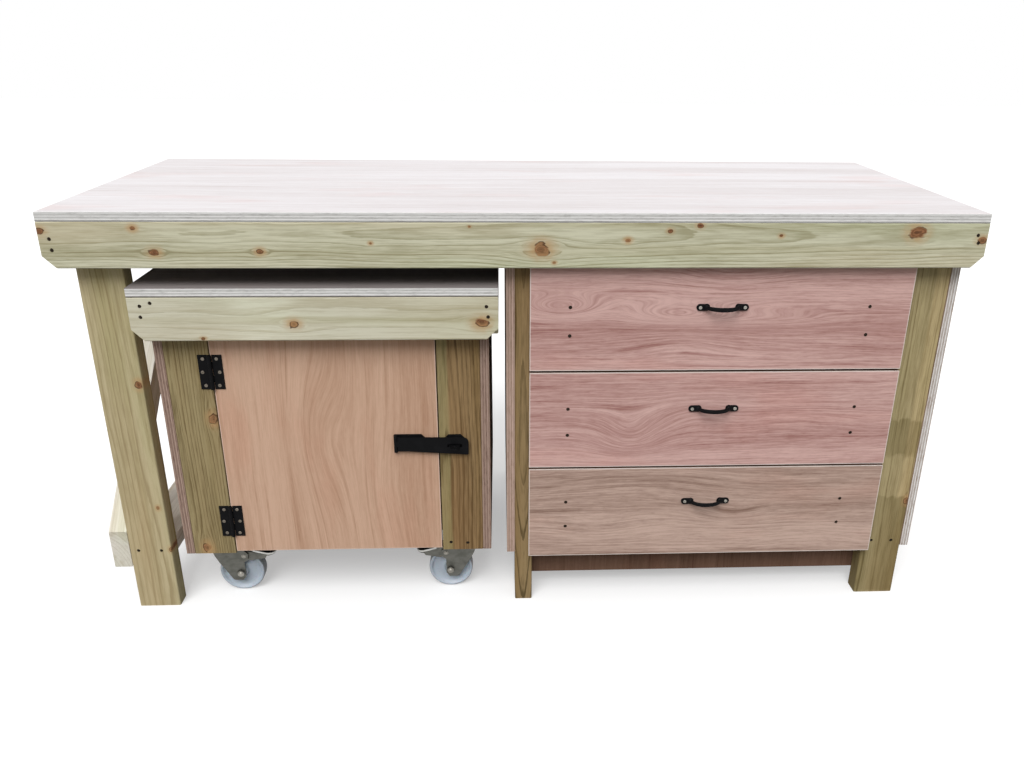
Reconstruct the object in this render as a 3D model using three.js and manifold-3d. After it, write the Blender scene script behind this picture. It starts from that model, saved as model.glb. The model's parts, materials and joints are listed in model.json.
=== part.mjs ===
import * as THREE from "three";
import { mergeVertices } from "three/addons/utils/BufferGeometryUtils.js";
import Module from "manifold-3d";

const wasm = await Module();
wasm.setup();

// Millimetres throughout: X to the right, Y from the front edge to the back, Z up from the floor.
// Bench envelope and stock sizes.
const LENGTH = 1800;
const DEPTH = 700;
const HEIGHT = 895;
const PLY = 18;
const WIDE = 89;
const THICK = 38;
const EASE = 3;
const CHAMFER = 24;
const ARC_STEPS = 3;

// Bench frame: the rails hang below the top, the legs stand inside the rails.
const RAIL_TOP = HEIGHT - PLY;
const RAIL_BOTTOM = RAIL_TOP - WIDE;
const END = LENGTH / 2;
const BACK = DEPTH - THICK;
const LEG_OUTER = END - THICK;
const LEG_INNER = LEG_OUTER - WIDE;
const MID_LEG_LEFT = -20;
const MID_LEG_RIGHT = MID_LEG_LEFT + THICK;
const STRETCHER_BOTTOM = 124;
const STRETCHER_TOP = STRETCHER_BOTTOM + THICK;
const PANEL_BOTTOM = 126;
const KICK_BOTTOM = 47;

// Diagonal brace on the left end, at 45 degrees; rises are heights above the line z = y.
const BRACE_WIDTH = 63;
const BRACE_RISE = 155;
const BRACE_PLUMB = BRACE_WIDTH * Math.SQRT2;

// Drawers, counted from the lowest.
const DRAWERS = ["lower", "middle", "upper"];
const DRAWER_CENTRE = (MID_LEG_RIGHT + LEG_INNER) / 2;
const DRAWER_PITCH = 221;
const FRONT_WIDTH = 772;
const FRONT_HEIGHT = 216.5;
const BOX_WIDTH = 630;
const BOX_HEIGHT = 140;
const BOX_LENGTH = 540;
const BOX_LIFT = 38;
const BOX_FLOOR = 9;
const RUNNER_GAP = 0.5;
const RUNNER_START = 40;
const GUIDE_HEIGHT = 45;
const PULL_DROP = 81.5;
const PULL_LENGTH = 106;
const PULL_FOOT = 26;
const PULL_HEIGHT = 14;
const PULL_REACH = 23;
const PULL_ROOT = 32;
const PULL_BAR = 3.7;

// Rolling cart; X is measured from its own middle.
const CART_CENTRE = -407;
const CART_HALF = 354;
const CART_DEPTH = 600;
const CART_TOP = 750;
const CART_BOTTOM = 135;
const CART_RAIL_TOP = CART_TOP - PLY;
const CART_RAIL_BOTTOM = CART_RAIL_TOP - WIDE;
const CART_BACK = CART_DEPTH - THICK;
const STILE_OUTER = CART_HALF - THICK;
const STILE_INNER = STILE_OUTER - WIDE;
const DOOR_HALF = STILE_INNER - 2;
const DOOR_BOTTOM = 140;
const DOOR_TOP = CART_RAIL_BOTTOM - 2;

// Door hinges and hasp stand on the front face of the stiles and the door.
const FACE = THICK;
const LEAF = 2;
const BARREL = 4;
const BARREL_Y = FACE - BARREL - 0.3;
const HINGE_X = -(STILE_INNER + DOOR_HALF) / 2;
const HINGE_HEIGHT = 74;
const HINGE_WIDTH = 24;
const HINGE_BOTTOMS = { upper: 527, lower: 180 };
const HASP_X = 136;
const HASP_BOTTOM = 380.5;
const HASP_TOP = 420.5;
const HASP_LEAF_END = 198;
const HASP_CORNER = 8;
const FLAP_END = 289;
const FLAP_ROOT = 385;
const FLAP_BOTTOM = 375;
const FLAP_TOP = 415;
const FLAP_THICK = 2.5;
const STAPLE_X = 259.5;
const STAPLE_Z = 396;
const STAPLE_TIP = 10;
const STAPLE_HALF = 20.5;

// Castors: 100 mm wheels; the origin of each is on the floor below its mounting plate.
const SWIVEL_X = 263;
const FIXED_X = 271;
const CASTER_FRONT = 108;
const CASTER_REAR = CART_DEPTH - CASTER_FRONT;
const WHEEL_RADIUS = 50;
const TRAIL = 24;
const PLATE_BOTTOM = CART_BOTTOM - 3;
const FORK_INSIDE = 18.5;
const FORK_OUTSIDE = 21.5;
const AXLE = 5;

const pine = new THREE.MeshStandardMaterial({ color: 0xb3a27c, roughness: 0.75, metalness: 0 });
const ply = new THREE.MeshStandardMaterial({ color: 0xb99a84, roughness: 0.7, metalness: 0 });
const paleply = new THREE.MeshStandardMaterial({ color: 0xe6dcd8, roughness: 0.7, metalness: 0 });
const black = new THREE.MeshStandardMaterial({ color: 0x141414, roughness: 0.45, metalness: 0.3 });
const zinc = new THREE.MeshStandardMaterial({ color: 0x8b8b86, roughness: 0.4, metalness: 0.8 });
const nylon = new THREE.MeshStandardMaterial({ color: 0xd9dde2, roughness: 0.4, metalness: 0 });

// Outlines on the plane across an axis: (y, z) across X, (x, z) across Y, (x, y) across Z.
const FRAMES = {
  x: [new THREE.Vector3(0, 1, 0), new THREE.Vector3(0, 0, 1), new THREE.Vector3(1, 0, 0)],
  y: [new THREE.Vector3(1, 0, 0), new THREE.Vector3(0, 0, 1), new THREE.Vector3(0, -1, 0)],
  z: [new THREE.Vector3(1, 0, 0), new THREE.Vector3(0, 1, 0), new THREE.Vector3(0, 0, 1)],
};

// The outline drawn across an axis and carried along it.
function sweep(shape, axis, from, to, curveSegments = ARC_STEPS) {
  const [u, v, w] = FRAMES[axis];
  const options = { depth: to - from, bevelEnabled: false, curveSegments };
  const geometry = new THREE.ExtrudeGeometry(shape, options);
  const start = axis === "y" ? -to : from;
  const place = new THREE.Matrix4().makeBasis(u, v, w);
  place.setPosition(w.clone().multiplyScalar(start));
  return geometry.applyMatrix4(place);
}

function polygon(points) {
  return new THREE.Shape(points.map(([a, b]) => new THREE.Vector2(a, b)));
}

function roundedOutline(a0, a1, b0, b1, radius) {
  const shape = new THREE.Shape();
  const quarter = Math.PI / 2;
  shape.absarc(a1 - radius, b0 + radius, radius, -quarter, 0, false);
  shape.absarc(a1 - radius, b1 - radius, radius, 0, quarter, false);
  shape.absarc(a0 + radius, b1 - radius, radius, quarter, 2 * quarter, false);
  shape.absarc(a0 + radius, b0 + radius, radius, 2 * quarter, 3 * quarter, false);
  return shape;
}

function slab(x0, x1, y0, y1, z0, z1) {
  const geometry = new THREE.BoxGeometry(x1 - x0, y1 - y0, z1 - z0);
  return geometry.translate((x0 + x1) / 2, (y0 + y1) / 2, (z0 + z1) / 2);
}

// Planed timber with eased long edges, running along one axis.
function timber(axis, x0, x1, y0, y1, z0, z1) {
  const spans = { x: [y0, y1, z0, z1, x0, x1], y: [x0, x1, z0, z1, y0, y1], z: [x0, x1, y0, y1, z0, z1] };
  const [a0, a1, b0, b1, from, to] = spans[axis];
  return sweep(roundedOutline(a0, a1, b0, b1, EASE), axis, from, to);
}

// A round bar along an axis; (a, b) is its centre on the plane across that axis.
function rod(axis, a, b, radius, from, to, sides = 20) {
  const geometry = new THREE.CylinderGeometry(radius, radius, to - from, sides);
  const middle = (from + to) / 2;
  if (axis === "x") {
    return geometry.rotateZ(-Math.PI / 2).translate(middle, a, b);
  }
  if (axis === "y") {
    return geometry.translate(a, middle, b);
  }
  return geometry.rotateX(Math.PI / 2).translate(a, b, middle);
}

function toSolid(geometry) {
  const bare = geometry.clone();
  bare.deleteAttribute("normal");
  bare.deleteAttribute("uv");
  const merged = mergeVertices(bare, 1e-4);
  const vertProperties = merged.attributes.position.array;
  const triVerts = new Uint32Array(merged.index.array);
  return new wasm.Manifold(new wasm.Mesh({ numProp: 3, vertProperties, triVerts }));
}

function toGeometry(solid) {
  const { vertProperties, triVerts } = solid.getMesh();
  const geometry = new THREE.BufferGeometry();
  geometry.setAttribute("position", new THREE.BufferAttribute(new Float32Array(vertProperties), 3));
  geometry.setIndex(new THREE.BufferAttribute(new Uint32Array(triVerts), 1));
  geometry.computeVertexNormals();
  return geometry;
}

function join(first, ...others) {
  return toGeometry(others.reduce((body, piece) => body.add(toSolid(piece)), toSolid(first)));
}

function cut(first, ...tools) {
  return toGeometry(tools.reduce((body, tool) => body.subtract(toSolid(tool)), toSolid(first)));
}

function common(first, second) {
  return toGeometry(toSolid(first).intersect(toSolid(second)));
}

function add(group, name, geometry, material) {
  const mesh = new THREE.Mesh(geometry, material);
  mesh.name = name;
  group.add(mesh);
}

// A long rail whose lower corners are cut off at 45 degrees.
function apron(half, y0, y1, z0, z1) {
  const over = 5;
  const wedge = (side) =>
    polygon([
      [side * (half - CHAMFER - over), z0 - over],
      [side * (half + over), z0 - over],
      [side * (half + over), z0 + CHAMFER + over],
    ]);
  const rail = timber("x", -half, half, y0, y1, z0, z1);
  const ends = [-1, 1].map((side) => sweep(wedge(side), "y", y0 - over, y1 + over));
  return cut(rail, ...ends);
}

function addFrame(group) {
  add(group, "bench_top", slab(-END, END, 0, DEPTH, RAIL_TOP, HEIGHT), paleply);
  add(group, "front_apron", apron(END, 0, THICK, RAIL_BOTTOM, RAIL_TOP), pine);
  add(group, "rear_apron", apron(END, BACK, DEPTH, RAIL_BOTTOM, RAIL_TOP), pine);
  add(group, "side_rail_left", timber("y", -END, -LEG_OUTER, THICK, BACK, RAIL_BOTTOM, RAIL_TOP), pine);
  add(group, "side_rail_right", timber("y", LEG_OUTER, END, THICK, BACK, RAIL_BOTTOM, RAIL_TOP), pine);
  const feet = { front: [THICK, 2 * THICK], rear: [BACK - THICK, BACK] };
  const midFeet = { front: [THICK, THICK + WIDE], rear: [BACK - WIDE, BACK] };
  for (const row of ["front", "rear"]) {
    const [y0, y1] = feet[row];
    const [m0, m1] = midFeet[row];
    add(group, `leg_${row}_left`, timber("z", -LEG_OUTER, -LEG_INNER, y0, y1, 0, RAIL_TOP), pine);
    add(group, `leg_${row}_mid`, timber("z", MID_LEG_LEFT, MID_LEG_RIGHT, m0, m1, 0, RAIL_TOP), pine);
    add(group, `leg_${row}_right`, timber("z", LEG_INNER, LEG_OUTER, y0, y1, 0, RAIL_TOP), pine);
  }
  const flat = [2 * THICK, BACK - THICK, STRETCHER_BOTTOM, STRETCHER_TOP];
  add(group, "stretcher_left", timber("y", -LEG_OUTER, -LEG_INNER, ...flat), pine);
  const brace = polygon([
    [THICK, THICK + BRACE_RISE - BRACE_PLUMB],
    [BACK, BACK + BRACE_RISE - BRACE_PLUMB],
    [BACK, RAIL_BOTTOM],
    [RAIL_BOTTOM - BRACE_RISE, RAIL_BOTTOM],
    [THICK, THICK + BRACE_RISE],
  ]);
  add(group, "brace_left", sweep(brace, "x", -END, -LEG_OUTER), pine);
}

// Boards and drawer runners between the middle and right-hand legs.
function addBay(group) {
  const left = MID_LEG_LEFT - PLY;
  add(group, "bay_panel_left", slab(left, MID_LEG_LEFT, THICK, BACK, PANEL_BOTTOM, RAIL_TOP), ply);
  const right = LEG_OUTER + PLY;
  add(group, "bay_panel_right", slab(LEG_OUTER, right, THICK, BACK, PANEL_BOTTOM, RAIL_BOTTOM), ply);
  const kick = slab(MID_LEG_RIGHT, LEG_OUTER, 2 * THICK, 2 * THICK + PLY, KICK_BOTTOM, STRETCHER_BOTTOM);
  add(group, "kick_board", kick, ply);
  const bearer = timber("y", LEG_INNER - 4, LEG_OUTER, 2 * THICK, BACK - THICK, STRETCHER_BOTTOM, STRETCHER_TOP);
  add(group, "runner_rack_left", runnerRack(1), pine);
  add(group, "runner_rack_right", join(runnerRack(-1), bearer), pine);
}

// Upright board with a ledge and a guide strip for each drawer; side 1 faces right, -1 left.
function runnerRack(side) {
  const half = (LEG_INNER - MID_LEG_RIGHT) / 2;
  const end = BACK - 2;
  const across = (inset0, inset1, y0, y1, z0, z1) => {
    const a = DRAWER_CENTRE - side * (half - inset0);
    const b = DRAWER_CENTRE - side * (half - inset1);
    return slab(Math.min(a, b), Math.max(a, b), y0, y1, z0, z1);
  };
  const guide = half - BOX_WIDTH / 2 - RUNNER_GAP;
  const strips = DRAWERS.flatMap((_, i) => {
    const top = PANEL_BOTTOM + i * DRAWER_PITCH + BOX_LIFT - RUNNER_GAP;
    return [
      across(PLY - 2, guide + PLY, RUNNER_START, end, top - THICK, top),
      across(PLY - 2, guide, RUNNER_START, end, top - 2, top + GUIDE_HEIGHT),
    ];
  });
  return join(across(0, PLY, RUNNER_START, end, STRETCHER_BOTTOM, RAIL_BOTTOM - 2), ...strips);
}

// Bow pull: two screw plates and a rounded bar bent out between them.
function pull() {
  const inner = PULL_LENGTH / 2 - PULL_FOOT;
  const ring = new THREE.TorusGeometry(PULL_ROOT, PULL_BAR, 12, 40);
  ring.scale(1, PULL_REACH / (PULL_ROOT + PULL_BAR), PULL_HEIGHT / 3 / PULL_BAR);
  const ahead = slab(-PULL_LENGTH, PULL_LENGTH, -2 * PULL_REACH, 0, -PULL_HEIGHT, PULL_HEIGHT);
  const bar = common(ring, ahead);
  const foot = (x0, x1) => {
    const outline = roundedOutline(x0, x1, -PULL_HEIGHT / 2, PULL_HEIGHT / 2, PULL_HEIGHT / 2 - 1);
    return sweep(outline, "y", -3, 0, 4);
  };
  const half = PULL_LENGTH / 2;
  return join(bar, foot(-half, -inner), foot(inner, half));
}

function addDrawers(group) {
  DRAWERS.forEach((level, i) => {
    const drawer = new THREE.Group();
    drawer.position.set(DRAWER_CENTRE, 0, PANEL_BOTTOM + i * DRAWER_PITCH);
    const face = THICK - PLY;
    const front = slab(-FRONT_WIDTH / 2, FRONT_WIDTH / 2, face, THICK, 0, FRONT_HEIGHT);
    const half = BOX_WIDTH / 2;
    const end = THICK + BOX_LENGTH;
    const top = BOX_LIFT + BOX_HEIGHT;
    const block = slab(-half, half, THICK, end, BOX_LIFT, top);
    const hollow = slab(PLY - half, half - PLY, THICK - 5, end - PLY, BOX_LIFT + BOX_FLOOR, top + 5);
    const handle = pull().translate(0, face, FRONT_HEIGHT - PULL_DROP);
    add(drawer, `drawer_${level}_front`, front, ply);
    add(drawer, `drawer_${level}_box`, cut(block, hollow), ply);
    add(drawer, `drawer_${level}_pull`, handle, black);
    group.add(drawer);
  });
}

function addCartBody(cart) {
  add(cart, "cart_top", slab(-CART_HALF, CART_HALF, 0, CART_DEPTH, CART_RAIL_TOP, CART_TOP), ply);
  add(cart, "cart_front_apron", apron(CART_HALF, 0, THICK, CART_RAIL_BOTTOM, CART_RAIL_TOP), pine);
  const rear = apron(CART_HALF, CART_BACK, CART_DEPTH, CART_RAIL_BOTTOM, CART_RAIL_TOP);
  add(cart, "cart_rear_apron", rear, pine);
  for (const [word, side] of [["left", -1], ["right", 1]]) {
    const [r0, r1] = [side * STILE_OUTER, side * CART_HALF].sort((a, b) => a - b);
    const [s0, s1] = [side * STILE_INNER, side * STILE_OUTER].sort((a, b) => a - b);
    const [p0, p1] = [side * STILE_OUTER, side * (STILE_OUTER + PLY)].sort((a, b) => a - b);
    const rail = timber("y", r0, r1, THICK, CART_BACK, CART_RAIL_BOTTOM, CART_RAIL_TOP);
    add(cart, `cart_side_rail_${word}`, rail, pine);
    const front = timber("z", s0, s1, THICK, 2 * THICK, CART_BOTTOM, CART_RAIL_TOP);
    add(cart, `cart_stile_front_${word}`, front, pine);
    const back = timber("z", s0, s1, CART_BACK - THICK, CART_BACK, CART_BOTTOM, CART_RAIL_TOP);
    add(cart, `cart_stile_rear_${word}`, back, pine);
    const panel = slab(p0, p1, THICK, CART_BACK, CART_BOTTOM, CART_RAIL_BOTTOM);
    add(cart, `cart_side_panel_${word}`, panel, ply);
  }
  const edge = STILE_OUTER + PLY;
  const back = slab(-edge, edge, CART_BACK, CART_BACK + PLY, CART_BOTTOM, CART_RAIL_BOTTOM);
  add(cart, "cart_back_panel", back, ply);
  add(cart, "cart_base", cartBase(), ply);
}

// Floor board of the cupboard on two flat bearers.
function cartBase() {
  const [y0, y1] = [2 * THICK, CART_BACK - THICK];
  const step = CART_BOTTOM + THICK;
  const floor = slab(-STILE_OUTER, STILE_OUTER, y0, y1, step - 1, step + PLY);
  const lip = slab(-STILE_INNER + 1, STILE_INNER - 1, FACE + PLY + 2, y0 + 5, step, step + PLY);
  const bearer = (x0, x1) => slab(x0, x1, y0, y1, CART_BOTTOM, step);
  return join(floor, lip, bearer(-STILE_OUTER, -STILE_INNER), bearer(STILE_INNER, STILE_OUTER));
}

// Half of a butt hinge: a plate on one side of the barrel with its own knuckles.
function hingeLeaf(side, knuckles, bottom, pinned) {
  const pitch = HINGE_HEIGHT / 5;
  const across = (a, b, z0, z1) => {
    const [x0, x1] = [HINGE_X + side * a, HINGE_X + side * b].sort((p, q) => p - q);
    return slab(x0, x1, FACE - LEAF, FACE, z0, z1);
  };
  const plate = across(BARREL + 0.4, HINGE_WIDTH, bottom, bottom + HINGE_HEIGHT);
  const pieces = knuckles.flatMap((k) => {
    const z0 = bottom + k * pitch + 0.15;
    const z1 = z0 + pitch - 0.3;
    return [rod("z", HINGE_X, BARREL_Y, BARREL, z0, z1), across(2, BARREL + 2, z0, z1)];
  });
  const pin = rod("z", HINGE_X, BARREL_Y, 1.8, bottom + 1, bottom + HINGE_HEIGHT - 1, 12);
  if (pinned) {
    return join(plate, ...pieces, pin);
  }
  const bore = rod("z", HINGE_X, BARREL_Y, 2.2, bottom - 1, bottom + HINGE_HEIGHT + 1, 12);
  return cut(join(plate, ...pieces), bore);
}

function addDoor(cart) {
  const door = slab(-DOOR_HALF, DOOR_HALF, FACE, FACE + PLY, DOOR_BOTTOM, DOOR_TOP);
  add(cart, "cart_door", door, ply);
  for (const [level, bottom] of Object.entries(HINGE_BOTTOMS)) {
    add(cart, `hinge_${level}_frame_leaf`, hingeLeaf(-1, [0, 2, 4], bottom, true), black);
    add(cart, `hinge_${level}_door_leaf`, hingeLeaf(1, [1, 3], bottom, false), black);
  }
  addHasp(cart);
}

// Hasp: a leaf and barrel on the door, a flap over the gap, a staple on the stile.
function addHasp(cart) {
  const third = (HASP_TOP - HASP_BOTTOM) / 3;
  const [m0, m1] = [HASP_BOTTOM + third, HASP_TOP - third];
  const start = HASP_X + BARREL + 0.4;
  const leafOutline = polygon([
    [start, HASP_BOTTOM],
    [HASP_LEAF_END, HASP_BOTTOM],
    [HASP_LEAF_END, HASP_TOP - HASP_CORNER],
    [HASP_LEAF_END - HASP_CORNER, HASP_TOP],
    [start, HASP_TOP],
  ]);
  const plate = sweep(leafOutline, "y", FACE - LEAF, FACE);
  const barrel = (z0, z1) => rod("z", HASP_X, BARREL_Y, BARREL, z0, z1);
  const tongue = (z0, z1) => slab(HASP_X + 2, start + 2, FACE - LEAF, FACE, z0, z1);
  const low = [HASP_BOTTOM, m0 - 0.15];
  const high = [m1 + 0.15, HASP_TOP];
  const pin = rod("z", HASP_X, BARREL_Y, 1.8, HASP_BOTTOM + 1, HASP_TOP - 1, 12);
  const leaf = join(plate, barrel(...low), tongue(...low), barrel(...high), tongue(...high), pin);
  add(cart, "hasp_leaf", leaf, black);

  const face = BARREL_Y - BARREL;
  const outline = new THREE.Shape();
  outline.moveTo(start, FLAP_ROOT);
  outline.lineTo(FLAP_END - 3, FLAP_BOTTOM);
  outline.quadraticCurveTo(FLAP_END, FLAP_BOTTOM, FLAP_END, FLAP_BOTTOM + 3);
  outline.lineTo(FLAP_END, FLAP_TOP - 14);
  outline.quadraticCurveTo(FLAP_END, FLAP_TOP, FLAP_END - 14, FLAP_TOP);
  outline.lineTo(start, FLAP_TOP + 1);
  const wing = sweep(outline, "y", face, face + FLAP_THICK, 6);
  const strap = slab(HASP_X, start + 10, face, face + FLAP_THICK, m0 + 0.15, m1 - 0.15);
  const bore = rod("z", HASP_X, BARREL_Y, 2.2, HASP_BOTTOM - 1, HASP_TOP + 1, 12);
  const slot = slab(STAPLE_X - 15.5, STAPLE_X + 15.5, face - 5, face + 8, STAPLE_Z - 3.5, STAPLE_Z + 3.5);
  const flap = cut(join(wing, strap, barrel(m0 + 0.15, m1 - 0.15)), bore, slot);
  add(cart, "hasp_flap", flap, black);

  const baseOutline = polygon([
    [STAPLE_X - STAPLE_HALF, STAPLE_Z - 16],
    [STAPLE_X + STAPLE_HALF, STAPLE_Z - 16],
    [STAPLE_X + STAPLE_HALF, HASP_TOP - 1 - HASP_CORNER],
    [STAPLE_X + STAPLE_HALF - HASP_CORNER, HASP_TOP - 1],
    [STAPLE_X - STAPLE_HALF + HASP_CORNER, HASP_TOP - 1],
    [STAPLE_X - STAPLE_HALF, HASP_TOP - 1 - HASP_CORNER],
  ]);
  const base = sweep(baseOutline, "y", FACE - LEAF, FACE);
  const eye = polygon([
    [STAPLE_X - 13, FACE - 1],
    [STAPLE_X - 7, STAPLE_TIP],
    [STAPLE_X + 7, STAPLE_TIP],
    [STAPLE_X + 13, FACE - 1],
  ]);
  eye.holes.push(new THREE.Path().absarc(STAPLE_X, STAPLE_TIP + 9, 4.5, 0, 2 * Math.PI, true));
  const loop = sweep(eye, "z", STAPLE_Z - 1.5, STAPLE_Z + 1.5, 14);
  add(cart, "hasp_staple", join(base, loop), black);
}

function casterPlate() {
  return sweep(roundedOutline(-36, 36, -46, 46, 6), "z", PLATE_BOTTOM, CART_BOTTOM);
}

// Two cheeks of one outline on either side of the wheel.
function cheeks(outline, inside, outside) {
  return [sweep(outline, "y", inside, outside, 8), sweep(outline, "y", -outside, -inside, 8)];
}

function axleBolt(x) {
  const heads = [rod("y", x, WHEEL_RADIUS, 9, FORK_OUTSIDE - 1, FORK_OUTSIDE + 5, 6)];
  heads.push(rod("y", x, WHEEL_RADIUS, 9, -FORK_OUTSIDE - 5, -FORK_OUTSIDE + 1, 6));
  return [rod("y", x, WHEEL_RADIUS, AXLE, -FORK_OUTSIDE - 4, FORK_OUTSIDE + 4), ...heads];
}

// Swivel fork, trailing along +X.
function swivelFork() {
  const cheek = polygon([
    [-37, 118],
    [-31, 96],
    [-22, 78],
    [5, 33],
    [9, 31],
    [27, 31],
    [34, 41],
    [34, 78],
    [43, 85],
    [44, 99],
    [27, 118],
  ]);
  const crown = sweep(roundedOutline(-37, 27, -FORK_OUTSIDE, FORK_OUTSIDE, 5), "z", 114, 118);
  const dome = rod("z", 0, 0, 24, 116, PLATE_BOTTOM - 5.3, 28);
  return join(crown, dome, ...cheeks(cheek, FORK_INSIDE, FORK_OUTSIDE), ...axleBolt(TRAIL));
}

function fixedBracket() {
  const cheek = new THREE.Shape();
  cheek.moveTo(-34, PLATE_BOTTOM + 2);
  cheek.lineTo(-34, 122);
  cheek.absarc(0, WHEEL_RADIUS, 15, Math.PI * 0.95, Math.PI * 2.05, false);
  cheek.lineTo(34, 122);
  cheek.lineTo(34, PLATE_BOTTOM + 2);
  return join(casterPlate(), ...cheeks(cheek, FORK_INSIDE, FORK_OUTSIDE), ...axleBolt(0));
}

// One-piece wheel turned about its axle, which runs along Y.
function wheel() {
  const half = [
    [0, 18],
    [13, 18],
    [14, 17],
    [15.5, 8.5],
    [30, 7],
    [40, 8.5],
    [43.5, 12.5],
    [47.5, 14],
    [WHEEL_RADIUS, 11],
  ];
  const lower = half.map(([r, y]) => new THREE.Vector2(r, -y));
  const upper = half.map(([r, y]) => new THREE.Vector2(r, y)).reverse();
  const body = new THREE.LatheGeometry([...lower, ...upper], 36);
  return cut(body, rod("y", 0, 0, AXLE + 0.6, -30, 30)).translate(0, 0, WHEEL_RADIUS);
}

// Brake pedal: a channel over the wheel with a round-ended tread, hung on rivets inside the fork.
function brakePedal() {
  const cheek = polygon([
    [27, 89],
    [34, 85],
    [47, 80],
    [67, 84],
    [81, 86],
    [86, 94],
    [44, 104],
    [30, 104],
  ]);
  const side = polygon([
    [36, 103.5],
    [86, 92],
    [102, 91.5],
    [102, 95.5],
    [86, 98.5],
    [48, 108],
    [36, 108],
  ]);
  const plan = new THREE.Shape();
  plan.moveTo(30, -17.5);
  plan.absellipse(84, 0, 17, 17.5, -Math.PI / 2, Math.PI / 2, false);
  plan.lineTo(30, 17.5);
  const tread = common(sweep(side, "y", -20, 20), sweep(plan, "z", 80, 120, 8));
  return join(tread, ...cheeks(cheek, 15.5, 17.5));
}

function addCasters(cart) {
  for (const [word, side] of [["left", -1], ["right", 1]]) {
    const front = new THREE.Group();
    front.position.set(side * SWIVEL_X, CASTER_FRONT, 0);
    front.rotation.z = side > 0 ? Math.PI : 0;
    const name = `caster_front_${word}`;
    const race = rod("z", 0, 0, 27, PLATE_BOTTOM - 5, PLATE_BOTTOM + 1, 28);
    add(front, `${name}_plate`, join(casterPlate(), race), zinc);
    add(front, `${name}_fork`, swivelFork(), zinc);
    add(front, `${name}_wheel`, wheel().translate(TRAIL, 0, 0), nylon);
    add(front, `${name}_pedal`, brakePedal(), zinc);
    cart.add(front);

    const rear = new THREE.Group();
    rear.position.set(side * FIXED_X, CASTER_REAR, 0);
    rear.rotation.z = Math.PI / 2;
    add(rear, `caster_rear_${word}_bracket`, fixedBracket(), zinc);
    add(rear, `caster_rear_${word}_wheel`, wheel(), nylon);
    cart.add(rear);
  }
}

const workbench = new THREE.Group();
workbench.position.y = -DEPTH / 2;
addFrame(workbench);
addBay(workbench);
addDrawers(workbench);
const cart = new THREE.Group();
cart.position.x = CART_CENTRE;
addCartBody(cart);
addDoor(cart);
addCasters(cart);
workbench.add(cart);

const root = new THREE.Group();
root.add(workbench);
export default root;
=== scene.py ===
"""Looks of a timber workbench with three drawers and a rolling cupboard cart."""

import json
import math
import random

import bmesh
import bpy
from bpy.props import FloatProperty, FloatVectorProperty, PointerProperty
from mathutils import Matrix, Vector


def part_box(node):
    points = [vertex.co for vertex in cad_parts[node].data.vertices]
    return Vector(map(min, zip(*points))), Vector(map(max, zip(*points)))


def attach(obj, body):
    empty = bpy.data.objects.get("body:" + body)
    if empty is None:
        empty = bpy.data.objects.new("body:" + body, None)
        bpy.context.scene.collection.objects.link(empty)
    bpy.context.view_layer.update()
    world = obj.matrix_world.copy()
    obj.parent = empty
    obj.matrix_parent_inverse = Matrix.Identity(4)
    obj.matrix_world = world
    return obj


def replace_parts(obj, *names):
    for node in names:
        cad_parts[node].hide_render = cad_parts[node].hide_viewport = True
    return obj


bl_info = {
    "name": "Timber Workbench",
    "version": (1, 0, 0),
    "blender": (4, 5, 0),
    "location": "View3D > Sidebar > Workbench",
    "description": "Dresses a workbench with three drawers and a rolling cupboard cart",
    "category": "Object",
}

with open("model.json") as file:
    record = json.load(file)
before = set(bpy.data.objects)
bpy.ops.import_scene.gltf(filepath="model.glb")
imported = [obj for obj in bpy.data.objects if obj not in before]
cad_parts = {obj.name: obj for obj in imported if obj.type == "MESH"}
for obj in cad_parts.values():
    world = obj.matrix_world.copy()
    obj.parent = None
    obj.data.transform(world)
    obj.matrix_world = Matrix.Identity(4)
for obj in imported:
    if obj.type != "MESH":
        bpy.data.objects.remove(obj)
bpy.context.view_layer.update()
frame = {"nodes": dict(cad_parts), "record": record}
NODES = frame["nodes"]
BODY_OF = {node: body for body, nodes in frame["record"]["behaviour"]["bodies"].items() for node in nodes}
PIVOTS = {joint["name"]: joint.get("pos_m") for joint in frame["record"]["behaviour"]["joints"]}

X, Y, Z = Vector((1, 0, 0)), Vector((0, 1, 0)), Vector((0, 0, 1))
DRAWERS = ("lower", "middle", "upper")
SIDES = ("left", "right")

# Sawn timbers by the tone of their wood. The white tone of the brace and end stretcher is painted light: paler wood
# for the strong light on the left end.
TIMBER = {
    "pale": (
        "front_apron", "rear_apron", "side_rail_left", "side_rail_right", "cart_rear_apron",
        "cart_side_rail_left", "cart_side_rail_right", "runner_rack_left", "runner_rack_right",
    ),
    "white": ("brace_left", "stretcher_left"),
    "bleached": ("cart_front_apron",),
    "olive": ("leg_front_left", "leg_rear_left", "leg_rear_right"),
    "tan": ("leg_front_right", "leg_rear_mid"),
    "moss": ("cart_stile_front_left", "cart_stile_rear_left"),
    "flame": ("leg_front_mid",),
    "umber": ("cart_stile_front_right", "cart_stile_rear_right"),
}

# Heart of the log in a timber: across and through its middle, how fast it leaves along the grain, the distance
# between its rings, and how far along the grain from the middle they run straight again.
PITHS = {
    "leg_front_mid": (-0.0325, 0.001, -0.080, 0.0095, -0.075),
    "leg_front_right": (-0.055, 0.020, 0.004, 0.021, 9.0),
}

# Stretches of a timber with a tone of their own: from left to right and how softly, from one height to another,
# and their tint.
STAINS = {
    "leg_front_right": (
        (-9.0, 9.0, 0.004, 0.0, 0.254, (0.66, 0.65, 0.58)), (-9.0, 9.0, 0.004, 0.356, 0.441, (0.66, 0.65, 0.58)),
        (0.835, 9.0, 0.004, 0.254, 9.0, (1.30, 1.26, 1.30)),
    ),
    "cart_stile_front_right": ((-9.0, -0.158, 0.004, 0.0, 9.0, (1.10, 1.42, 1.46)),),
    "cart_front_apron": (
        (-0.575, -0.455, 0.060, 0.0, 9.0, (1.12, 1.14, 1.16)), (-0.235, 9.0, 0.110, 0.0, 9.0, (0.92, 0.90, 0.84)),
    ),
}

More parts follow.
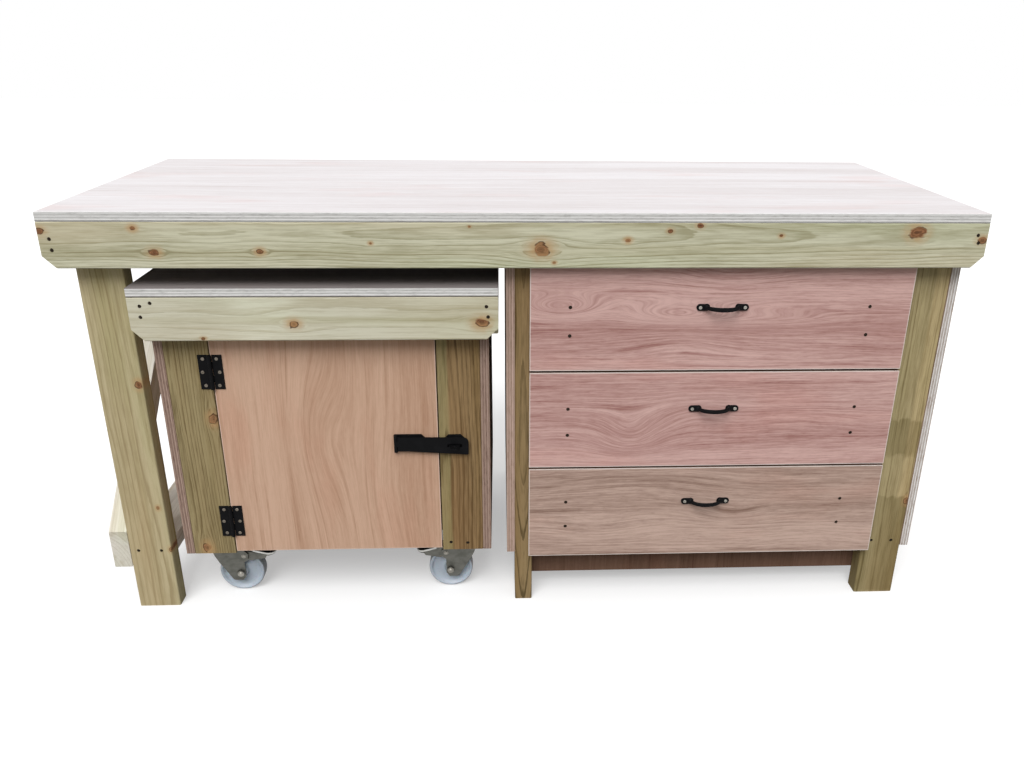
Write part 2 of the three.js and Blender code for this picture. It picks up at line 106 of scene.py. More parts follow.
# Knots on the front of a timber: distance to the right, height and radius.
KNOTS = {
    "front_apron": (
        (-0.895, 0.860, 0.0056), (-0.727, 0.865, 0.0048), (-0.694, 0.819, 0.0066), (-0.499, 0.8205, 0.0052),
        (-0.2925, 0.837, 0.0026), (-0.106, 0.869, 0.0019), (0.030, 0.826, 0.0120), (0.055, 0.7995, 0.0027),
        (0.1955, 0.843, 0.0043), (0.276, 0.861, 0.0036), (0.333, 0.8715, 0.0040), (0.492, 0.852, 0.0031),
        (0.7585, 0.858, 0.0108), (0.8905, 0.844, 0.0062),
    ),
    "cart_front_apron": ((-0.450, 0.678, 0.0072), (-0.086, 0.678, 0.0095), (-0.626, 0.6485, 0.003)),
    "leg_front_left": ((-0.781, 0.537, 0.0062), (-0.786, 0.251, 0.0034), (-0.7735, 0.146, 0.004)),
    "leg_front_right": ((0.859, 0.243, 0.006),),
    "cart_stile_front_left": ((-0.642, 0.459, 0.0085), (-0.694, 0.150, 0.008)),
    "cart_stile_front_right": (),
    "leg_front_mid": (),
}

# Swells that push a veneer's figure aside: distance to the right, height, push, reach to the side and up.
FIGURES = {
    "drawer_upper_front": (
        (0.072, 0.702, 0.050, 0.075, 0.024), (0.301, 0.686, 0.050, 0.110, 0.026), (0.413, 0.770, 0.022, 0.120, 0.040),
        (0.314, 0.628, -0.016, 0.100, 0.040), (0.500, 0.676, 0.024, 0.160, 0.020),
    ),
    "drawer_middle_front": (
        (0.221, 0.425, 0.034, 0.060, 0.045), (0.221, 0.385, 0.014, 0.110, 0.030), (0.360, 0.470, -0.020, 0.075, 0.040),
        (0.560, 0.455, -0.018, 0.150, 0.040),
    ),
    "drawer_lower_front": (
        (0.456, 0.225, 0.022, 0.090, 0.030), (0.284, 0.318, -0.016, 0.160, 0.040), (0.160, 0.190, 0.018, 0.120, 0.035),
        (0.640, 0.170, -0.014, 0.120, 0.030),
    ),
    "cart_door": (
        (-0.430, 0.440, 0.050, 0.060, 0.170), (-0.410, 0.560, -0.026, 0.050, 0.120), (-0.300, 0.300, 0.020, 0.070, 0.160),
    ),
}

# Screws sunk in the front of a board: distance to the right and height.
SUNK = {
    "front_apron": ((-0.881, 0.844), (-0.880, 0.823), (0.881, 0.853), (0.884, 0.838)),
    "leg_front_left": ((-0.844, 0.1445), (-0.795, 0.1435)),
    "leg_front_right": ((0.794, 0.140), (0.840, 0.1395)),
    "drawer_lower_front": ((0.090, 0.261), (0.090, 0.201), (0.697, 0.261), (0.697, 0.201)),
    "drawer_middle_front": ((0.090, 0.482), (0.090, 0.422), (0.697, 0.482), (0.697, 0.422)),
    "drawer_upper_front": ((0.090, 0.703), (0.090, 0.643), (0.697, 0.703), (0.697, 0.643)),
    "cart_front_apron": ((-0.738, 0.714), (-0.718, 0.720), (-0.7395, 0.692), (-0.076, 0.711), (-0.073, 0.690)),
    "cart_stile_front_right": ((-0.162, 0.153), (-0.125, 0.151)),
}

# Screws of a hinge leaf: share of its width from the barrel, and of its height.
HINGE_SCREWS = ((0.56, 0.11), (0.68, 0.50), (0.56, 0.89))
STAPLE_SCREWS = ((-0.1567, 0.4139), (-0.1357, 0.4137))

# Screws of the hasp's leaf, hidden by its flap: distance from its free end, and share of its height.
LEAF_SCREWS = ((0.011, 0.20), (0.036, 0.50), (0.013, 0.74))

# Half of a wheel's section: distance from the axle and half width, in millimetres.
WHEEL_SECTION = (
    (5.8, 17.0), (6.8, 18.0), (12.4, 18.0), (13.6, 17.4), (14.2, 16.2), (15.0, 10.6), (16.6, 8.8), (23.0, 7.6),
    (31.0, 7.0), (38.0, 7.6), (41.0, 8.9), (42.9, 11.2), (44.2, 13.1), (45.7, 14.0), (47.4, 13.9), (48.9, 12.8),
    (49.7, 11.3), (50.0, 9.4),
)

# Top of a brake pedal seen from the side: distance from the swivel and height, in millimetres.
PEDAL_TOP = ((36.0, 108.0), (48.0, 108.0), (86.0, 98.5), (102.0, 95.5))


def colour(name, description, default):
    """A colour that a user may change."""
    return FloatVectorProperty(
        name=name, description=description, subtype="COLOR", size=3, min=0.0, max=1.0, default=default
    )


def length(name, description, default):
    """A size that a user may change."""
    return FloatProperty(name=name, description=description, min=0.0, unit="LENGTH", precision=4, default=default)


class TimberLooks(bpy.types.PropertyGroup):
    """Colours and growth of the treated pine."""

    pale_early: colour("Pale early wood", "Wide rings of the rails", (0.645, 0.63, 0.47))
    pale_late: colour("Pale late wood", "Narrow rings of the rails", (0.38, 0.355, 0.225))
    # White tone: painted light, paler than the wood for the strong light that falls on the brace and end stretcher.
    white_early: colour("White early wood", "Wide rings of the end stretcher", (0.80, 0.755, 0.685))
    white_late: colour("White late wood", "Narrow rings of the end stretcher", (0.66, 0.61, 0.53))
    bleached_early: colour("Bleached early wood", "Wide rings of the palest boards", (0.66, 0.635, 0.50))
    bleached_late: colour("Bleached late wood", "Narrow rings of the palest boards", (0.51, 0.47, 0.335))
    olive_early: colour("Olive early wood", "Wide rings of the legs", (0.55, 0.465, 0.285))
    olive_late: colour("Olive late wood", "Narrow rings of the legs", (0.385, 0.305, 0.168))
    tan_early: colour("Tan early wood", "Wide rings of the right leg", (0.43, 0.35, 0.19))
    tan_late: colour("Tan late wood", "Narrow rings of the right leg", (0.215, 0.165, 0.075))
    moss_early: colour("Moss early wood", "Wide rings of the hinge stile", (0.36, 0.29, 0.152))
    moss_late: colour("Moss late wood", "Narrow rings of the hinge stile", (0.165, 0.121, 0.055))
    umber_early: colour("Umber early wood", "Wide rings of the lock stile", (0.31, 0.205, 0.099))
    umber_late: colour("Umber late wood", "Narrow rings of the lock stile", (0.115, 0.07, 0.03))
    flame_early: colour("Flame early wood", "Wide rings of the middle leg", (0.325, 0.228, 0.112))
    flame_late: colour("Flame late wood", "Narrow rings of the middle leg", (0.115, 0.08, 0.035))
    knot: colour("Knot", "Heart of a knot", (0.33, 0.150, 0.070))
    knot_rim: colour("Knot rim", "Dark bark round a knot", (0.075, 0.036, 0.019))
    knot_glow: colour("Knot halo", "Resin-stained wood round a knot", (0.50, 0.30, 0.135))
    ring: length("Ring spacing", "Mean distance between growth rings", 0.0046)


class BoardLooks(bpy.types.PropertyGroup):
    """Colours of the plywood boards."""

    worktop: colour("Worktop", "Bleached face of the worktop", (0.715, 0.695, 0.71))
    worktop_grain: colour("Worktop grain", "Figure of the worktop", (0.51, 0.455, 0.445))
    pink: colour("Pink veneer", "Face of the two upper drawers", (0.68, 0.45, 0.41))
    pink_grain: colour("Pink grain", "Figure of the two upper drawers", (0.315, 0.14, 0.12))
    tan: colour("Tan veneer", "Face of the lowest drawer", (0.595, 0.43, 0.36))
    tan_grain: colour("Tan grain", "Figure of the lowest drawer", (0.255, 0.16, 0.122))
    door: colour("Door veneer", "Face of the cart door", (0.645, 0.43, 0.31))
    door_grain: colour("Door grain", "Figure of the cart door", (0.40, 0.22, 0.135))
    panel: colour("Panel veneer", "Face of the side boards", (0.50, 0.37, 0.29))
    panel_grain: colour("Panel grain", "Figure of the side boards", (0.27, 0.175, 0.125))
    # Painted shade: the cart top is pale ply like the worktop, but its two colours are darkened for the deep shade
    # under the worktop.
    shaded_shelf: colour("Cart top", "Face of the cart's top", (0.25, 0.225, 0.22))
    shaded_shelf_grain: colour("Cart top grain", "Figure of the cart's top", (0.14, 0.12, 0.115))
    kick: colour("Kick board", "Face of the kick board", (0.20, 0.115, 0.078))
    kick_grain: colour("Kick board grain", "Figure of the kick board", (0.105, 0.055, 0.035))
    edge_pale: colour("Pale ply", "Long-grain layers on a cut edge", (0.455, 0.325, 0.265))
    edge_dark: colour("Dark ply", "End-grain layers on a cut edge", (0.14, 0.08, 0.058))
    edge_white: colour("White ply", "Bleached layers on a cut edge", (0.86, 0.855, 0.835))
    edge_grey: colour("Grey ply", "Weathered layers on a bleached edge", (0.40, 0.39, 0.375))
    # Painted shade: these plies are darkened so that the gaps between the drawer fronts and round the door look dark.
    edge_brown_gap_shade: colour("Brown ply", "Layers on the edge of a drawer front or the door", (0.20, 0.13, 0.10))
    arris: colour("Arris", "Sanded edge of a drawer front", (0.80, 0.72, 0.66))
    door_arris: colour("Door arris", "Sanded edge of the door", (0.74, 0.55, 0.44))
    layer: length("Layer", "Thickness of one ply", 0.0028)


class MetalLooks(bpy.types.PropertyGroup):
    """Colours and sizes of the hardware."""

    black: colour("Black paint", "Hinges, hasp and pulls", (0.0045, 0.0045, 0.005))
    zinc: colour("Zinc plate", "Castor forks and plates", (0.145, 0.145, 0.13))
    # On the pedal rims this steel is a painted highlight, brighter than the zinc pedal for the light caught on its
    # edge.
    steel: colour("Steel", "Castor pedals, axle bolts and rivets", (0.55, 0.55, 0.53))
    hinge_screw: colour("Hinge screw", "Heads of the hinge screws", (0.20, 0.175, 0.145))
    bright: colour("Bright screw", "Heads of the hinge and pull screws", (0.34, 0.325, 0.29))
    dull: colour("Sunk screw", "Heads of the screws sunk in the wood", (0.034, 0.026, 0.020))
    # The nylon is set greyer than the wheels' grey-white nylon: painted shade for their place under the cart.
    nylon: colour("Nylon", "Castor wheels", (0.47, 0.53, 0.60))
    grip: colour("Pedal grip", "Black grip on the brake pedals", (0.008, 0.008, 0.009))
    pull_bar: length("Pull bar", "Half of the thickness of a pull's bar", 0.0037)
    pull_foot: length("Pull foot", "Length of a pull's foot", 0.0260)
    pull_plate: length("Pull plate", "Thickness of a pull's foot", 0.0032)
    head: length("Screw head", "Radius of a hinge or pull screw", 0.0036)
    sunk_head: length("Sunk head", "Radius of a screw sunk in the wood", 0.0036)


class StageLooks(bpy.types.PropertyGroup):
    """Floor, light and camera."""

    floor: colour("Floor", "Colour that the camera sees", (0.62, 0.62, 0.62))
    glow: FloatProperty(name="Floor glow", description="Light of the floor that only the camera sees", min=0.0, default=0.4)
    bounce: colour("Floor bounce", "Colour that the floor throws back", (0.22, 0.22, 0.215))
    skyline: FloatProperty(name="Skyline", description="Level of the light from the horizon", min=0.0, default=0.08)
    zenith: FloatProperty(name="Zenith", description="Level of the light from overhead", min=0.0, default=1.1)
    sun: FloatProperty(name="Sun", description="Strength of the soft sun", min=0.0, default=2.35)
    sun_angle: FloatProperty(
        name="Sun angle", description="Width of the soft sun", min=0.0, subtype="ANGLE", unit="ROTATION", default=0.65
    )
    lens: FloatProperty(
        name="Lens", description="Focal length", min=1.0, subtype="DISTANCE_CAMERA", unit="CAMERA", default=30.475
    )
    eye: FloatVectorProperty(
        name="Camera place", description="Where the camera stands", size=3, subtype="TRANSLATION", unit="LENGTH",
        default=(-0.0471, -1.9732, 1.2146),
    )


class Finish:
    """Node tree of one finish, with a short call for each kind of node."""

    def __init__(self, name):
        self.material = bpy.data.materials.new(name)
        self.material.use_nodes = True
        self.tree = self.material.node_tree
        self.shader = self.tree.nodes["Principled BSDF"]
        self.coordinates = self.add("TexCoord")
        self.place = self.coordinates.outputs["Object"]

    def add(self, kind, **settings):
        node = self.tree.nodes.new("ShaderNode" + kind)
        for name, value in settings.items():
            setattr(node, name, value)
        return node

    def feed(self, socket, value):
        if isinstance(value, bpy.types.NodeSocket):
            self.tree.links.new(value, socket)
        elif socket.type == "RGBA":
            socket.default_value = (*value, 1.0)
        else:
            socket.default_value = value

    def wire(self, node, *values):
        for socket, value in zip(node.inputs, values):
            self.feed(socket, value)
        return node.outputs[0]

    def math(self, operation, *values):
        return self.wire(self.add("Math", operation=operation), *values)

    def vector(self, operation, *values):
        return self.wire(self.add("VectorMath", operation=operation), *values)

    def span(self, value, low, high, start=0.0, end=1.0):
        """A smooth step between two limits."""
        return self.wire(self.add("MapRange", interpolation_type="SMOOTHSTEP"), value, low, high, start, end)

    def mix(self, factor, first, second, blend="MIX"):
        node = self.add("Mix", data_type="RGBA", blend_type=blend)
        for index, value in ((0, factor), (6, first), (7, second)):
            self.feed(node.inputs[index], value)
        return node.outputs[2]

    def noise(self, place, scales, detail=2.0, roughness=0.5, distortion=0.0):
        """Noise with a scale of its own along, across and through the grain, in cycles per metre."""
        node = self.add("TexNoise")
        self.feed(node.inputs["Vector"], self.vector("MULTIPLY", place, scales))
        for name, value in (("Scale", 1.0), ("Detail", detail), ("Roughness", roughness), ("Distortion", distortion)):
            node.inputs[name].default_value = value
        return node.outputs["Fac"]

    def split(self, place):
        return self.wire_all(self.add("SeparateXYZ"), place)

    def wire_all(self, node, *values):
        self.wire(node, *values)
        return tuple(node.outputs)

    def lay(self, along, across, centre, drift=(0.0, 0.0, 0.0)):
        """Object coordinates with X along the grain, Y across it and Z through the board."""
        turn = Matrix((along, across, along.cross(across)))
        node = self.add("Mapping")
        node.inputs["Location"].default_value = Vector(drift) - turn @ Vector(centre)
        node.inputs["Rotation"].default_value = turn.to_euler()
        return self.wire(node, self.place)

    def relief(self, height, depth, strength=1.0):
        node = self.add("Bump")
        for name, value in (("Height", height), ("Distance", depth), ("Strength", strength)):
            self.feed(node.inputs[name], value)
        self.feed(self.shader.inputs["Normal"], node.outputs[0])

    def tint(self, tone, *shares):
        return [c * share for c, share in zip(tone, shares)]

    def set(self, **inputs):
        for name, value in inputs.items():
            self.feed(self.shader.inputs[name.replace("_", " ")], value)


def seeded(name):
    """The same run of numbers for the same name each time."""
    return random.Random("workbench " + name)


def grain_of(node):
    """The directions along and across the grain of a board, and its middle."""
    low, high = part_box(node)
    size = high - low
    order = sorted(range(3), key=lambda i: -size[i])
    return (X, Y, Z)[order[0]], (X, Y, Z)[order[1]], (low + high) / 2, size


def dress(node, finish):
    """Puts a finish on a CAD node."""
    slots = NODES[node].material_slots
    if not slots:
        raise RuntimeError(f"{node} has no material slot")
    for slot in slots:
        slot.material = finish.material


def ease(node, width, angle=0.6):
    """Slightly rounded edges on a CAD node, and holes for its sunk screws."""
    stack = NODES[node].modifiers
    weld = stack.new("weld", "WELD")
    weld.merge_threshold = 1e-5
    bevel = stack.new("ease", "BEVEL")
    bevel.width = width
    bevel.segments = 2
    bevel.limit_method = "ANGLE"
    bevel.angle_limit = angle
    if node in SUNK:
        holes = stack.new("holes", "BOOLEAN")
        holes.operation = "DIFFERENCE"
        holes.solver = "EXACT"
        holes.object = countersinks(node)
    shading = stack.new("shading", "WEIGHTED_NORMAL")
    shading.weight = 100


def countersinks(node):
    """Hidden cones that cut the holes for the screws sunk in a board."""
    bm = bmesh.new()
    for place in sunk_places(node, 0.0):
        bmesh.ops.create_cone(
            bm, cap_ends=True, segments=24, radius1=0.0031, radius2=0.0043, depth=0.005,
            matrix=place @ Matrix.Translation((0, 0, -0.0015)),
        )
    mesh = bpy.data.meshes.new("holes_" + node)
    bm.to_mesh(mesh)
    bm.free()
    cones = bpy.data.objects.new("holes_" + node, mesh)
    bpy.context.scene.collection.objects.link(cones)
    cones.hide_render = True
    cones.display_type = "WIRE"
    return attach(cones, BODY_OF[node])


def sunk_places(node, depth):
    """Places on the front of a board, facing out, at a depth in the wood."""
    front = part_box(node)[0].y
    return [facing(-Y, (x, front + depth, z)) for x, z in SUNK[node]]


def knot_field(f, u, v, ragged, knots):
    """How far the grain is pushed aside by the knots, and the distance to the nearest in its radii."""
    shift, nearest = 0.0, 9.0
    for along, across, radius in knots:
        a = f.math("SUBTRACT", u, along)
        b = f.math("SUBTRACT", v, across)
        b2 = f.math("MULTIPLY", b, b)
        a2 = f.math("MULTIPLY", a, a)
        reach = f.math("MULTIPLY_ADD", a2, 0.13, b2)
        ratio = f.math("MAXIMUM", f.math("DIVIDE", reach, (1.4 * radius) ** 2), 0.6)
        shift = f.math("ADD", shift, f.math("DIVIDE", b, ratio))
        near = f.math("SQRT", f.math("MULTIPLY_ADD", a2, 0.6, b2))
        nearest = f.math("MINIMUM", nearest, f.math("DIVIDE", near, radius))
    return shift, f.math("MULTIPLY_ADD", f.math("SUBTRACT", ragged, 0.5), 2.0, nearest)


def pine(name, along, across, centre, knots, early, late, looks):
    """Treated softwood: growth rings cut by the board, pushed round its knots."""
    dice = seeded(name)
    f = Finish(name)
    place = f.lay(along, across, centre)
    far = f.vector("ADD", place, (dice.uniform(-9, 9), dice.uniform(-9, 9), dice.uniform(-9, 9)))
    u, v, w = f.split(place)
    ragged = f.noise(far, (42.0, 70.0, 70.0), 2.0, 0.5)
    shift, edge = knot_field(f, u, v, ragged, knots)
    pith_v = dice.choice((-1, 1)) * dice.uniform(0.02, 0.05)
    pith_w = dice.choice((-1, 1)) * dice.uniform(0.03, 0.06)
    slope = dice.uniform(-0.012, 0.012)
    spacing = looks.ring * dice.uniform(0.85, 1.5)
    pith_v, pith_w, slope, spacing, bend = PITHS.get(name, (pith_v, pith_w, slope, spacing, 9.0))
    dv = f.math("SUBTRACT", f.math("SUBTRACT", v, shift), pith_v)
    dw = f.math("SUBTRACT", w, pith_w)
    radius = f.math("SQRT", f.math("MULTIPLY_ADD", dv, dv, f.math("MULTIPLY", dw, dw)))
    wander = f.noise(far, (1.3, 3.5, 3.5), 2.0)
    fine = f.noise(far, (8.0, 60.0, 60.0), 3.0)
    ragged_line = f.noise(far, (30.0, 380.0, 380.0), 2.0)
    radius = f.math("MULTIPLY_ADD", wander, 0.045, radius)
    radius = f.math("MULTIPLY_ADD", fine, 0.0032, radius)
    radius = f.math("MULTIPLY_ADD", ragged_line, 0.0012, radius)
    radius = f.math("MULTIPLY_ADD", f.math("MINIMUM", u, bend), slope, radius)
    phase = f.math("DIVIDE", radius, spacing)
    ring = f.math("FRACT", phase)
    year = f.add("TexWhiteNoise", noise_dimensions="1D")
    f.feed(year.inputs["W"], f.math("FLOOR", phase))
    rise = f.span(ring, 1.0 - 0.003 / spacing, 1.0 - 0.0004 / spacing)
    fall = f.span(ring, 1.0, 1.0 - 0.00028 / spacing)
    strength = f.math("MULTIPLY_ADD", year.outputs["Value"], 0.75, 0.7 if name == "leg_front_mid" else 0.25)
    dark = f.math("MULTIPLY", f.math("MULTIPLY", rise, fall), strength)

    thread = f.math("PINGPONG", f.math("DIVIDE", radius, 0.0036), 0.5)
    fibre = f.noise(far, (9.0, 520.0, 520.0), 4.0, 0.7)
    blotch = f.noise(far, (2.6, 20.0, 20.0), 4.0, 0.6)
    fleck = f.span(f.noise(far, (60.0, 900.0, 900.0), 1.0), 0.6, 0.72)
    shade = f.math("MULTIPLY_ADD", f.span(fibre, 0.32, 0.68), 0.45, f.math("MULTIPLY", dark, 0.85))
    shade = f.math("MULTIPLY_ADD", f.span(blotch, 0.65, 0.33), 0.40, f.math("SUBTRACT", shade, 0.24))
    shade = f.math("MULTIPLY_ADD", fleck, 0.14, shade)
    shade = f.math("MULTIPLY_ADD", f.span(thread, 0.28, 0.5), 0.22, shade)
    mottle = f.noise(far, (16.0, 150.0, 150.0), 3.0, 0.6)
    shade = f.math("MULTIPLY_ADD", f.span(mottle, 0.34, 0.66), 0.36, f.math("SUBTRACT", shade, 0.18))
    tone = f.mix(shade, early, late)
    lane = f.noise(far, (0.35, 30.0, 30.0), 2.0)
    tone = f.mix(f.span(lane, 0.5, 0.64, 0.0, 0.7), tone, f.mix(1.0, tone, (0.80, 0.77, 0.68), "MULTIPLY"))
    warm = f.noise(far, (0.9, 7.0, 7.0), 3.0)
    tone = f.mix(f.span(warm, 0.48, 0.7, 0.0, 0.4), tone, f.tint(early, 0.92, 0.76, 0.66))
    tone = f.mix(f.span(warm, 0.48, 0.3, 0.0, 0.5), tone, f.mix(1.0, tone, (0.9, 1.0, 0.88), "MULTIPLY"))

    x, _, z = f.split(f.place)
    for left, right, soft, low, high, tint in STAINS.get(name, ()):
        height = f.math("MULTIPLY_ADD", ragged, 0.030, f.math("SUBTRACT", z, 0.015))
        stained = f.math("MULTIPLY", f.span(height, low - 0.007, low + 0.007), f.span(height, high + 0.004, high - 0.004))
        stained = f.math("MULTIPLY", stained, f.span(blotch, 0.7, 0.4, 0.5, 0.95))
        aside = f.math("MULTIPLY_ADD", fine, 0.012, f.math("SUBTRACT", x, 0.006))
        stained = f.math("MULTIPLY", stained, f.span(aside, left - soft, left + soft))
        stained = f.math("MULTIPLY", stained, f.span(aside, right + soft, right - soft))
        tone = f.mix(stained, tone, f.mix(1.0, tone, tint, "MULTIPLY"))

    halo = f.math("MULTIPLY", f.span(edge, 3.0, 0.9), f.span(ragged, 0.35, 0.62, 0.25, 0.75))
    tone = f.mix(halo, tone, looks.knot_glow)
    growth = f.math("PINGPONG", f.math("MULTIPLY_ADD", fine, 1.6, edge), 0.2)
    heart = f.mix(f.span(growth, 0.0, 0.2, 0.0, 0.55), looks.knot, looks.knot_rim)
    heart = f.mix(f.span(ragged_line, 0.42, 0.66, 0.0, 0.5), heart, looks.knot_rim)
    heart = f.mix(f.span(blotch, 0.40, 0.58, 0.0, 0.55), heart, looks.knot_glow)
    heart = f.mix(f.span(edge, 0.6, 0.1, 0.0, 0.45), heart, looks.knot_rim)
    tone = f.mix(f.span(edge, 1.2, 0.8), tone, heart)
    rim = f.math("MULTIPLY", f.span(edge, 0.74, 0.98), f.span(edge, 1.2, 1.02))
    tone = f.mix(f.math("MULTIPLY", rim, f.span(fine, 0.44, 0.58, 0.0, 0.85)), tone, looks.knot_rim)

    facing_end = f.math("ABSOLUTE", f.wire_all(
        f.add("VectorMath", operation="DOT_PRODUCT"), f.coordinates.outputs["Normal"], along
    )[1])
    sawn = f.mix(1.0, tone, (0.88, 0.84, 0.78), "MULTIPLY")
    tone = f.mix(f.span(facing_end, 0.6, 0.9), tone, sawn)

    f.set(Base_Color=tone, Roughness=f.math("MULTIPLY_ADD", dark, -0.1, 0.82), Specular_IOR_Level=0.12)
    f.relief(f.math("ADD", f.math("MULTIPLY", dark, 0.7), fibre), 0.0004, 0.6)
    return f


def veneer(name, along, across, centre, size, light, dark, contrast=0.5, fibre=0.42, figure=(), layers=None,
           layer=0.0014, arris=None):
    """Plywood: a rotary-cut face whose figure flows round its swells, and its layers on the cut edges."""
    dice = seeded(name)
    f = Finish(name)
    place = f.lay(along, across, centre)
    u, v, w = f.split(place)
    drift = (dice.uniform(-9, 9), dice.uniform(-9, 9), dice.uniform(-9, 9))
    far = f.vector("ADD", place, drift)
    flow = v
    for a, b, push, reach, height in figure:
        du = f.math("DIVIDE", f.math("SUBTRACT", u, a), reach)
        dv = f.math("DIVIDE", f.math("SUBTRACT", v, b), height)
        away = f.math("MULTIPLY_ADD", du, du, f.math("MULTIPLY", dv, dv))
        swell = f.math("EXPONENT", f.math("MULTIPLY", away, -1.0))
        flow = f.math("MULTIPLY_ADD", swell, push, flow)
    flow = f.math("MULTIPLY_ADD", f.noise(far, (1.0, 3.5, 1.0), 2.0), 0.05, flow)
    flow = f.math("MULTIPLY_ADD", f.noise(far, (4.0, 16.0, 1.0), 2.0), 0.008, flow)
    grain = f.vector("ADD", f.wire(f.add("CombineXYZ"), u, flow, w), drift)
    band = f.noise(grain, (0.6, 13.0, 1.0), 3.0, 0.55)
    line = f.noise(grain, (1.5, 105.0, 1.0), 4.0, 0.62)
    streak = f.noise(grain, (11.0, 330.0, 1.0), 3.0, 0.65)
    fleck = f.noise(grain, (42.0, 260.0, 1.0), 2.0, 0.6)
    pores = f.span(f.noise(grain, (60.0, 900.0, 1.0), 1.0), 0.58, 0.72)
    broken = f.span(f.noise(grain, (9.0, 55.0, 1.0), 3.0), 0.36, 0.6, 0.35, 1.0)
    drawn = f.math("MULTIPLY", f.span(line, 0.52, 0.70), broken)
    shade = f.math("MULTIPLY_ADD", f.span(band, 0.3, 0.7), 0.95 * contrast, 0.16 - 0.52 * contrast - 0.12 * fibre)
    shade = f.math("MULTIPLY_ADD", drawn, 1.05 * contrast, shade)
    shade = f.math("MULTIPLY_ADD", f.span(line, 0.46, 0.30), -0.35 * contrast, shade)
    shade = f.math("MULTIPLY_ADD", f.span(streak, 0.32, 0.68), fibre, shade)
    shade = f.math("MULTIPLY_ADD", f.span(fleck, 0.36, 0.66), 0.32 * fibre, shade)
    shade = f.math("MULTIPLY_ADD", pores, 0.5 * fibre, shade)
    tone = f.mix(shade, light, dark)
    blush = f.span(f.noise(far, (3.0, 11.0, 1.0), 3.0), 0.52, 0.72, 0.0, contrast)
    tone = f.mix(blush, tone, f.mix(1.0, tone, (0.97, 0.82, 0.79), "MULTIPLY"))
    # A pale band round the face; on the worktop this is a painted highlight of the light caught on its rounded edge.
    if arris is not None:
        side = f.math("SUBTRACT", abs(size.dot(along)) / 2, f.math("ABSOLUTE", u))
        end = f.math("SUBTRACT", abs(size.dot(across)) / 2, f.math("ABSOLUTE", v))
        inward = f.math("MULTIPLY_ADD", streak, 0.0012, f.math("MINIMUM", side, end))
        tone = f.mix(f.span(inward, 0.0032, 0.0016, 0.0, 0.8), tone, arris)
    if layers is not None:
        half = min(size) / 2
        face = f.math("GREATER_THAN", f.math("ABSOLUTE", w), half - 0.0009)
        tone = f.mix(face, plies(f, far, w, half, layers, layer, along.cross(across) == Z), tone)
    f.set(Base_Color=tone, Roughness=f.math("MULTIPLY_ADD", streak, 0.16, 0.7), Specular_IOR_Level=0.12)
    f.relief(f.math("SUBTRACT", streak, f.math("MULTIPLY", pores, 0.6)), 0.00025, 0.5)
    return f


def plies(f, far, depth, half, layers, layer, shade_lowest_ply):
    """Layers of a cut plywood edge, every other one end grain, with the lowest ply of a flat board darkened: a dark
    bottom ply and painted shadow of the joint beneath it.
    """
    pale, brown = layers
    wavy = f.math("MULTIPLY_ADD", f.noise(far, (9.0, 9.0, 40.0), 2.0), 0.0007, depth)
    ply = f.math("DIVIDE", wavy, layer)
    sheet = f.add("TexWhiteNoise", noise_dimensions="1D")
    f.feed(sheet.inputs["W"], f.math("FLOOR", ply))
    turned = f.math("GREATER_THAN", f.math("FRACT", f.math("MULTIPLY", ply, 0.5)), 0.5)
    torn = f.noise(far, (55.0, 55.0, 420.0), 3.0, 0.7)
    amount = f.math("MULTIPLY_ADD", turned, 0.5, f.math("MULTIPLY", sheet.outputs["Value"], 0.25))
    amount = f.math("MULTIPLY_ADD", f.span(torn, 0.45, 0.72), 0.4, amount)
    glue = f.span(f.math("ABSOLUTE", f.math("SUBTRACT", f.math("FRACT", ply), 0.5)), 0.34, 0.5, 0.0, 0.45)
    tone = f.mix(f.math("MINIMUM", f.math("ADD", amount, glue), 1.0), pale, brown)
    # Painted shadow: the lowest ply of a flat board is darkened nearly to black, partly its dark bottom ply, partly
    # the shadow of the joint beneath it.
    if shade_lowest_ply:
        tone = f.mix(f.span(depth, 0.0022 - half, 0.0016 - half, 0.0, 0.9), tone, f.tint(brown, 0.2, 0.19, 0.16))
    return tone


def painted(name, tint, roughness):
    """Stoved paint with a fine orange-peel skin."""
    f = Finish(name)
    skin = f.noise(f.place, (900.0, 900.0, 900.0), 2.0)
    worn = f.noise(f.place, (60.0, 60.0, 60.0), 3.0)
    f.set(Base_Color=f.mix(f.span(worn, 0.45, 0.75, 0.0, 0.6), tint, f.tint(tint, 2.0, 2.0, 2.0)))
    f.set(Roughness=f.math("MULTIPLY_ADD", worn, 0.25, roughness), Specular_IOR_Level=0.06)
    f.relief(skin, 0.00008, 0.4)
    return f


def plated(name, tint, roughness):
    """Zinc plate: a dull metal with cloudy patches and drawing marks."""
    f = Finish(name)
    cloud = f.noise(f.place, (38.0, 38.0, 70.0), 4.0, 0.6)
    drawn = f.noise(f.place, (700.0, 700.0, 40.0), 2.0)
    tone = f.mix(f.span(cloud, 0.35, 0.7), tint, f.tint(tint, 0.72, 0.72, 0.70))
    f.set(Base_Color=tone, Metallic=1.0)
    f.set(Roughness=f.math("MULTIPLY_ADD", cloud, 0.3, roughness))
    f.relief(drawn, 0.00004, 0.5)
    return f


